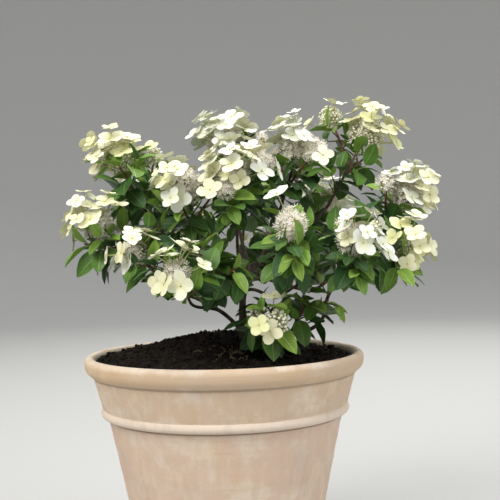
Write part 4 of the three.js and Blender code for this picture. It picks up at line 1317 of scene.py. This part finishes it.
TONE_FROM, TONE_SPAN = 0.40, 0.20  # heights over which the greens grow lighter
TONE_LUCK = (0.42, 0.66, 1.08)  # where old, dark, middle and fresh greens follow each other


def grid_faces(rows, columns):
    """Faces between the corners of a grid, each from its first corner along the next row and back."""
    i, j = np.meshgrid(np.arange(rows - 1), np.arange(columns - 1), indexing="ij")
    first = i * columns + j
    return np.stack((first, first + columns, first + columns + 1, first + 1), -1).reshape(-1, 4)


def blade_half(share):
    """Half width of the blade as a share of its greatest."""
    here = share ** BLADE_SWELL * (1 - share) ** BLADE_TAPER
    most = BLADE_WIDEST ** BLADE_SWELL * (1 - BLADE_WIDEST) ** BLADE_TAPER
    return max(here / most, BLADE_LEAST)


leaf_shares = np.linspace(0, 1, LEAF_ROWS + 1)
leaf_halves = np.array([blade_half(share) for share in leaf_shares])
leaf_faces = grid_faces(len(leaf_shares), len(LEAF_COLUMNS))
leaf_is_rib = np.arange(len(leaf_faces)) % (len(LEAF_COLUMNS) - 1) == RIB_COLUMN
leaf_spots = np.stack(np.meshgrid(leaf_shares, (LEAF_COLUMNS + 1) / 2, indexing="ij"), -1)
leaf_spots = leaf_spots[..., ::-1].reshape(-1, 2)


def add_blade(joined, leaf, kind, draw):
    share = BLADE_START + (1 - BLADE_START) * leaf_shares[:, None]
    side = LEAF_COLUMNS[None] * leaf_halves[:, None]
    half = leaf["long"] * leaf["wide"] / 2
    phase = draw(0, TURN)
    curl = draw(*CURL)
    rise_and_fall = np.sin(leaf_shares * WAVES + phase)[:, None] * np.sign(LEAF_COLUMNS)[None]
    wave = LEAF_WAVE * half * rise_and_fall * side ** 2
    arch = -curl * half * side ** 2
    bend = leaf["droop"] * (1 + draw(*BEND)) * leaf["long"] * share ** 2
    rib = -RIB_DROP * (np.abs(LEAF_COLUMNS)[None] < 0.1)
    lift = leaf["fold"] * half * np.abs(side) - bend + wave + arch + rib
    sway = draw(-BLADE_SWAY, BLADE_SWAY) * leaf["long"] * share ** 2
    corners = (leaf["root"] + leaf["way"] * (leaf["long"] * share[..., None])
               + leaf["side"] * (half * side + sway)[..., None] + leaf["face"] * lift[..., None])
    joined.add(corners.reshape(-1, 3), leaf_faces, 2 * kind + leaf_is_rib, leaf_spots)
    foot = corners[0].mean(0)
    stalk = np.linspace(leaf["root"], foot + leaf["way"] * PETIOLE_IN, 4)
    stalk[1:3] += leaf["face"] * leaf["long"] * PETIOLE_BOW
    return stalk


def leaf_tone(leaf, draw):
    """A green by age and by how far in the shade it hangs."""
    high = (leaf["root"][2] - TONE_FROM) / TONE_SPAN
    if leaf["young"]:
        return 4 if draw(0, 1) < 0.55 + 0.3 * high else 3
    luck = draw(0, 1) + 0.30 * high
    return sum(luck >= bound for bound in TONE_LUCK)


old_leaves = Joined("old_leaves")
young_leaves = Joined("young_leaves")
for plan in plans:
    draw = run_of(plan.shoot, LEAF_RUN, 7)
    for leaf in plan.leaves:
        tone = leaf_tone(leaf, draw)
        joined = young_leaves if leaf["young"] else old_leaves
        stalk = add_blade(joined, leaf, tone, draw)
        add_tube(joined, stalk, np.linspace(*PETIOLE_R, 4), 5, 2 * tone + 1)


def leaf_finish(name, colour, rib):
    finish = Finish(name, colour, 0.44, Specular_IOR_Level=0.34)
    across, along = finish.part("X", "UV"), finish.part("Y", "UV")
    from_rib = abs(across * 2 - 1)
    slant = (along - from_rib * VEIN_SLANT) * (VEINS * TURN)
    vein = slant.reckon("SINE", slant).between(0.55, 1.0) * (1 - from_rib * 0.7)
    mottle = finish.grain(38, detail=2.0)
    lighter = tuple(0.55 * a + 0.45 * b for a, b in zip(colour, rib))
    deeper = tuple(part * 0.72 for part in colour)
    tone = finish.mix(deeper, colour, mottle.between(0.36, 0.60))
    margin = from_rib.between(0.90, 1.0)
    finish.set("Base Color", finish.mix(finish.mix(tone, lighter, vein * 0.65), rib, margin * 0.7))
    finish.relief((1 - vein) * 0.8 + finish.grain(420) * 0.35, 0.0009, 0.9)
    return finish


leaf_finishes = []
for name, blade, rib in LEAF_GREENS:
    leaf_finishes.append(leaf_finish(f"{name} leaf", blade, rib))
    leaf_finishes.append(Finish(f"{name} leaf rib", rib, 0.5))
placed(old_leaves.piece(*leaf_finishes), "leaves", *masses)
placed(young_leaves.piece(*leaf_finishes), "leaves", *masses)


# Florets. The showy, sterile flowers: four broad papery lobes that overlap round a tiny eye, slightly
# cupped, each flower on its own thin stalk. They open greenish cream and turn to pure white.

PETAL_ROWS = (0.06, 0.36, 0.68, 1.0)
PETAL_HALVES = (0.07, 0.31, 0.435, 0.385)
PETAL_COLUMNS = np.array((-1.0, -0.5, 0.0, 0.5, 1.0))
PETAL_NOTCH = 0.03  # at the tip of the lobe, where it also narrows by PETAL_SHOULDER
PETAL_SHOULDER = 0.28
LOBE = {"cup": (0.06, 0.26), "hollow": 1.4, "turn": 0.09, "long": (0.93, 1.05), "wide": (0.95, 1.08),
        "tilt": 0.09, "ripple": 0.05, "rolled": (-0.05, 0.10)}
PETAL_STEP = 0.0005  # every second petal lies this much above its neighbours
PETAL_LIFT = 0.0006
EYE_R = 0.085  # as a share of the floret's radius
EYE_LIFT = 0.0012
STALK_STEPS = 6
STALK_SAG = 0.0018
EYE_GREEN = (0.50, 0.52, 0.22)
STALK_GREEN = (0.46, 0.47, 0.22)
PEDICEL_R = (0.00075, 0.0006)
PETAL_VEINS = 34
# A warmer cream, for blotches and veins, and for painted warm shade towards the middle of each floret
PETAL_TINT = (0.95, 0.93, 0.66)
PETAL_TONES = [
    # name, colour
    ("white petal", (0.79, 0.81, 0.735)),
    ("ivory petal", (0.785, 0.785, 0.625)),
    ("cream petal", (0.79, 0.775, 0.55)),
    ("lime petal", (0.765, 0.770, 0.45)),
]
TONE_SHARES = {
    # how the four tones are dealt out in each shoot
    "white": (0.66, 0.28, 0.06, 0.0),
    "ivory": (0.30, 0.45, 0.25, 0.0),
    "cream": (0.08, 0.32, 0.52, 0.08),
    "lime": (0.0, 0.12, 0.50, 0.38),
}
SHOOT_TONES = {
    "upper_left": "lime", "right_top": "lime", "low_right": "lime", "low_front": "lime",
    "left": "cream", "centre_left": "ivory", "front_left": "cream", "low_left": "ivory",
    "top": "white", "centre": "ivory", "centre_right": "white", "centre_front": "white",
    "top_left": "white", "right": "ivory", "back": "ivory", "left_back": "white",
    "back_left": "cream", "back_right": "white", "right_back": "ivory", "back_low": "cream",
}

petal_t = PETAL_COLUMNS[None]
petal_top = 1 - PETAL_SHOULDER * petal_t ** 2 - PETAL_NOTCH * np.exp(-(petal_t / 0.2) ** 2)
petal_y = PETAL_ROWS[0] + (petal_top - PETAL_ROWS[0]) * (
    (np.array(PETAL_ROWS)[:, None] - PETAL_ROWS[0]) / (1 - PETAL_ROWS[0]))
petal_x = petal_t * np.array(PETAL_HALVES)[:, None]
petal_faces = grid_faces(len(PETAL_ROWS), len(PETAL_COLUMNS))[:, [0, 3, 2, 1]]
petal_spots = np.stack((petal_x + 0.5, petal_y), -1).reshape(-1, 2)


def dealt(shares, luck):
    for index, share in enumerate(shares):
        luck -= share
        if luck < 0:
            return index
    return len(shares) - 1


def add_petals(joined, floret, tone, draw):
    face, radius = floret["face"], floret["radius"]
    first, second = sides_of(face)
    cup = draw(*LOBE["cup"])
    for k in range(4):
        angle = floret["spin"] + k * TURN / 4 + draw(-LOBE["turn"], LOBE["turn"])
        out = first * math.cos(angle) + second * math.sin(angle)
        beside = np.cross(face, out)
        long = radius * draw(*LOBE["long"])
        wide = radius * draw(*LOBE["wide"])
        tilt = draw(-LOBE["tilt"], LOBE["tilt"])
        ripple = draw(-LOBE["ripple"], LOBE["ripple"]) * np.sin(petal_t * 4 + draw(0, TURN)) * petal_y
        rolled = draw(*LOBE["rolled"]) * petal_x ** 2 * 4
        lift = radius * (cup * petal_y ** LOBE["hollow"] + tilt * petal_x * 2 + ripple + rolled)
        lift = lift + PETAL_STEP * (k % 2) + PETAL_LIFT
        corners = (floret["centre"] + out * (long * petal_y)[..., None]
                   + beside * (wide * petal_x)[..., None] + face * lift[..., None])
        joined.add(corners.reshape(-1, 3), petal_faces, tone, petal_spots)


petals = Joined("floret_petals")
stalks = Joined("floret_stalks")
eyes_kind = len(PETAL_TONES)
for plan in plans:
    shares = TONE_SHARES[SHOOT_TONES.get(plan.shoot["name"], "white")]
    draw = run_of(plan.shoot, PETAL_RUN, 11)
    for floret in plan.florets:
        tone = dealt(shares, draw(0, 1))
        add_petals(petals, floret, tone, draw)
        eye = ball_corners * floret["radius"] * EYE_R + floret["centre"] + floret["face"] * EYE_LIFT
        petals.add(eye, ball_faces, eyes_kind)
        span = floret["centre"] - floret["root"]
        shares_up = np.linspace(0.12, 1, STALK_STEPS)
        sag = leaning(unit(span), draw(0, TURN), math.pi / 2) * STALK_SAG
        line = floret["root"] + np.outer(shares_up, span) + np.outer(np.sin(shares_up * math.pi), sag)
        add_tube(stalks, line, np.linspace(*PEDICEL_R, STALK_STEPS), 5)

petal_finishes = []
for name, colour in PETAL_TONES:
    finish = Finish(name, colour, 0.6, Sheen_Weight=0.15)
    across, along = finish.part("X", "UV"), finish.part("Y", "UV")
    fan = (across - 0.5) / (along + 0.25) * PETAL_VEINS
    vein = fan.reckon("SINE", fan).between(0.2, 1.0)
    blush = finish.grain(70, detail=2.0)
    tinted = tuple(part * shade for part, shade in zip(colour, PETAL_TINT))
    # Painted warm shade: yellower towards the middle of each floret, where the cupped lobes overlap
    middle = 1 - along.between(0.10, 0.62)
    tint = blush.between(0.42, 0.64) * 0.3 + vein * 0.1 + middle * 0.6
    finish.set("Base Color", finish.mix(colour, tinted, tint))
    finish.relief(vein * 0.5 + finish.grain(300) * 0.5, 0.0004, 0.6)
    petal_finishes.append(finish)
petal_finishes.append(Finish("floret eye", EYE_GREEN, 0.6))
stalk_finish = Finish("pale stalk", STALK_GREEN, 0.6)
flowering = [f"foliage_{shoot['name']}" for shoot in SHOOTS if shoot["head"]]
placed(petals.piece(*petal_finishes), "blossom", *flowering)
placed(stalks.piece(stalk_finish), "blossom", *flowering)


# Fertile flowers. Each head is a loose cone of tiny flowers on branchlets: tight round buds where it is
# young, and open five-pointed stars with fine stamens, fading to beige, where it is old.

BUD_SPACING = {"bud": 0.0047, "open": 0.0050, "loose": 0.0062}
BUD_R = {"bud": (0.0017, 0.0023), "open": (0.0015, 0.0020), "loose": (0.0019, 0.0025)}
STAR_R = 0.0043
STAR_SIZES = (0.85, 1.15)
STAR_LOBES = 5
STAR_CORNERS = ((-0.42, 0.62, 0.10), (0, 1.0, 0.28), (0.42, 0.62, 0.10))  # turn, reach and lift in a lobe
STAMEN = {"foot": 0.15, "tip": 0.75, "high": 1.15, "half": 0.07, "widening": 1.6}
# The core stands for the crowded branchlets inside a head, and its pale colour is painted light where the
# gaps would be in shade
CORE = 0.74  # the crowded branchlets inside a head, as a share of it
SLIM = {"centre_front": 0.80}  # a head that has faded and shrunk, as a share of its full size
BRANCHLET_R = (0.0005, 0.00032)
BRANCHLET_RISE = 0.16  # along the head, as a share of its length
BRANCHLET_SAG = 0.0012
HEAD_KINDS = {
    "upper_left": "bud", "right_top": "bud", "low_right": "bud", "low_front": "loose", "left_back": "bud",
    "back_left": "bud", "back_low": "bud",
}
STAR_SHARES = {"bud": 0.06, "open": 0.78, "loose": 0.0}
GREEN_SHARES = {"bud": 0.35, "open": 0.35, "loose": 0.1}
PINK_SHARE = 0.55
DEPTHS = (0.80, 1.08)  # how deep in the head a flower sits
SCATTER = 0.0011
FACING_UP = 12
EACH_BRANCHLET = {"bud": 3, "open": 3, "loose": 1}  # flowers for each branchlet
BUD_COLOURS = [
    # name, colour
    ("cream bud", (0.90, 0.88, 0.71)),
    ("green bud", (0.78, 0.81, 0.50)),
    ("white star", (0.95, 0.92, 0.83)),
    ("pink star", (0.93, 0.83, 0.74)),
    ("stamen", (0.94, 0.89, 0.78)),
    ("pale core", (0.50, 0.48, 0.28)),
]


def star():
    """A tiny flower's five pointed lobes. Its five stamens, standing up from the middle, are made by
    stamens().
    """
    corners = [(0, 0, 0)]
    faces = []
    for k in range(STAR_LOBES):
        angle = k * TURN / STAR_LOBES
        for turn, reach, lift in STAR_CORNERS:
            corners.append((reach * math.cos(angle + turn), reach * math.sin(angle + turn), lift))
        faces.append((0, 3 * k + 1, 3 * k + 2, 3 * k + 3))
    return np.array(corners), np.array(faces)


def stamens():
    corners, faces = [], []
    for k in range(STAR_LOBES):
        angle = (k + 0.5) * TURN / STAR_LOBES
        out = np.array((math.cos(angle), math.sin(angle), 0.0))
        beside = np.array((-out[1], out[0], 0.0)) * STAMEN["half"]
        foot, tip = out * STAMEN["foot"], out * STAMEN["tip"] + UP * STAMEN["high"]
        wide = beside * STAMEN["widening"]
        corners += [foot - beside, foot + beside, tip + wide, tip - wide]
        faces.append((4 * k, 4 * k + 1, 4 * k + 2, 4 * k + 3))
    return np.array(corners), np.array(faces)


core_corners, core_faces = ball_of_few_faces(3)
star_corners, star_faces = star()
stamen_corners, stamen_faces = stamens()
clusters = Joined("fertile_flowers")
branchlets = Joined("flower_branchlets")


def turned_to(way, spin):
    """Rows that carry a shape standing on z over to a direction."""
    first, second = sides_of(way)
    turned = first * math.cos(spin) + second * math.sin(spin)
    return np.array((turned, second * math.cos(spin) - first * math.sin(spin), way))


for plan in plans:
    draw = run_of(plan.shoot, FLOWER_RUN, 13)
    kind_of_head = HEAD_KINDS.get(plan.shoot["name"], "open")
    for head in plan.heads:
        slim = SLIM.get(plan.shoot["name"], 1.0)
        long, radius, way = head["long"] * slim, head["radius"] * slim, head["way"]
        area = 4 * math.pi * radius * (long / 2 + radius) / 2
        count = int(area / BUD_SPACING[kind_of_head] ** 2)
        # a pale core: the crowded branchlets, painted light where the gaps between the flowers would be in
        # shade
        if kind_of_head != "loose":
            upright = turned_to(way, 0.0)
            core = core_corners * np.array((radius, radius, long / 2)) * CORE @ upright
            clusters.add(core + head["foot"] + way * long * HEAD_MIDDLE, core_faces, 5)
        for k in range(count):
            high = 1 - 2 * (k + 0.5) / count
            belt = math.sqrt(1 - high * high)
            out = leaning(way, head["start"] + k * GOLDEN, math.pi / 2)
            depth = draw(*DEPTHS)
            spot = (head["foot"] + way * long * (HEAD_MIDDLE + 0.5 * high * depth)
                    + out * radius * belt * depth)
            spot = spot + np.array((draw(-1, 1), draw(-1, 1), draw(-1, 1))) * SCATTER
            outward = unit(out * belt / radius + way * high / (long / 2) + UP * FACING_UP)
            shape = turned_to(outward, draw(0, TURN))
            if draw(0, 1) < STAR_SHARES[kind_of_head]:
                kind = 3 if draw(0, 1) < PINK_SHARE else 2
                size = STAR_R * draw(*STAR_SIZES)
                clusters.add(star_corners * size @ shape + spot, star_faces, kind)
                clusters.add(stamen_corners * size @ shape + spot, stamen_faces, 4)
            else:
                kind = int(draw(0, 1) < GREEN_SHARES[kind_of_head])
                size = draw(*BUD_R[kind_of_head])
                clusters.add(ball_corners * size @ shape + spot, ball_faces, kind)
            if k % EACH_BRANCHLET[kind_of_head] == 0:
                low = max(0.05, HEAD_MIDDLE + 0.5 * high * depth - BRANCHLET_RISE)
                line = np.linspace(head["foot"] + way * long * low, spot, 4)
                line[1:3] -= way * BRANCHLET_SAG
                add_tube(branchlets, line, np.linspace(*BRANCHLET_R, 4), 4)

bud_finishes = []
for name, colour in BUD_COLOURS:
    finish = Finish(name, colour, 0.62)
    shade = finish.grain(160, detail=2.0)
    deeper = tuple(part * 0.86 for part in colour)
    finish.set("Base Color", finish.mix(deeper, colour, shade.between(0.38, 0.6)))
    bud_finishes.append(finish)
placed(clusters.piece(*bud_finishes), "blossom", *flowering)
placed(branchlets.piece(stalk_finish), "blossom", *flowering)
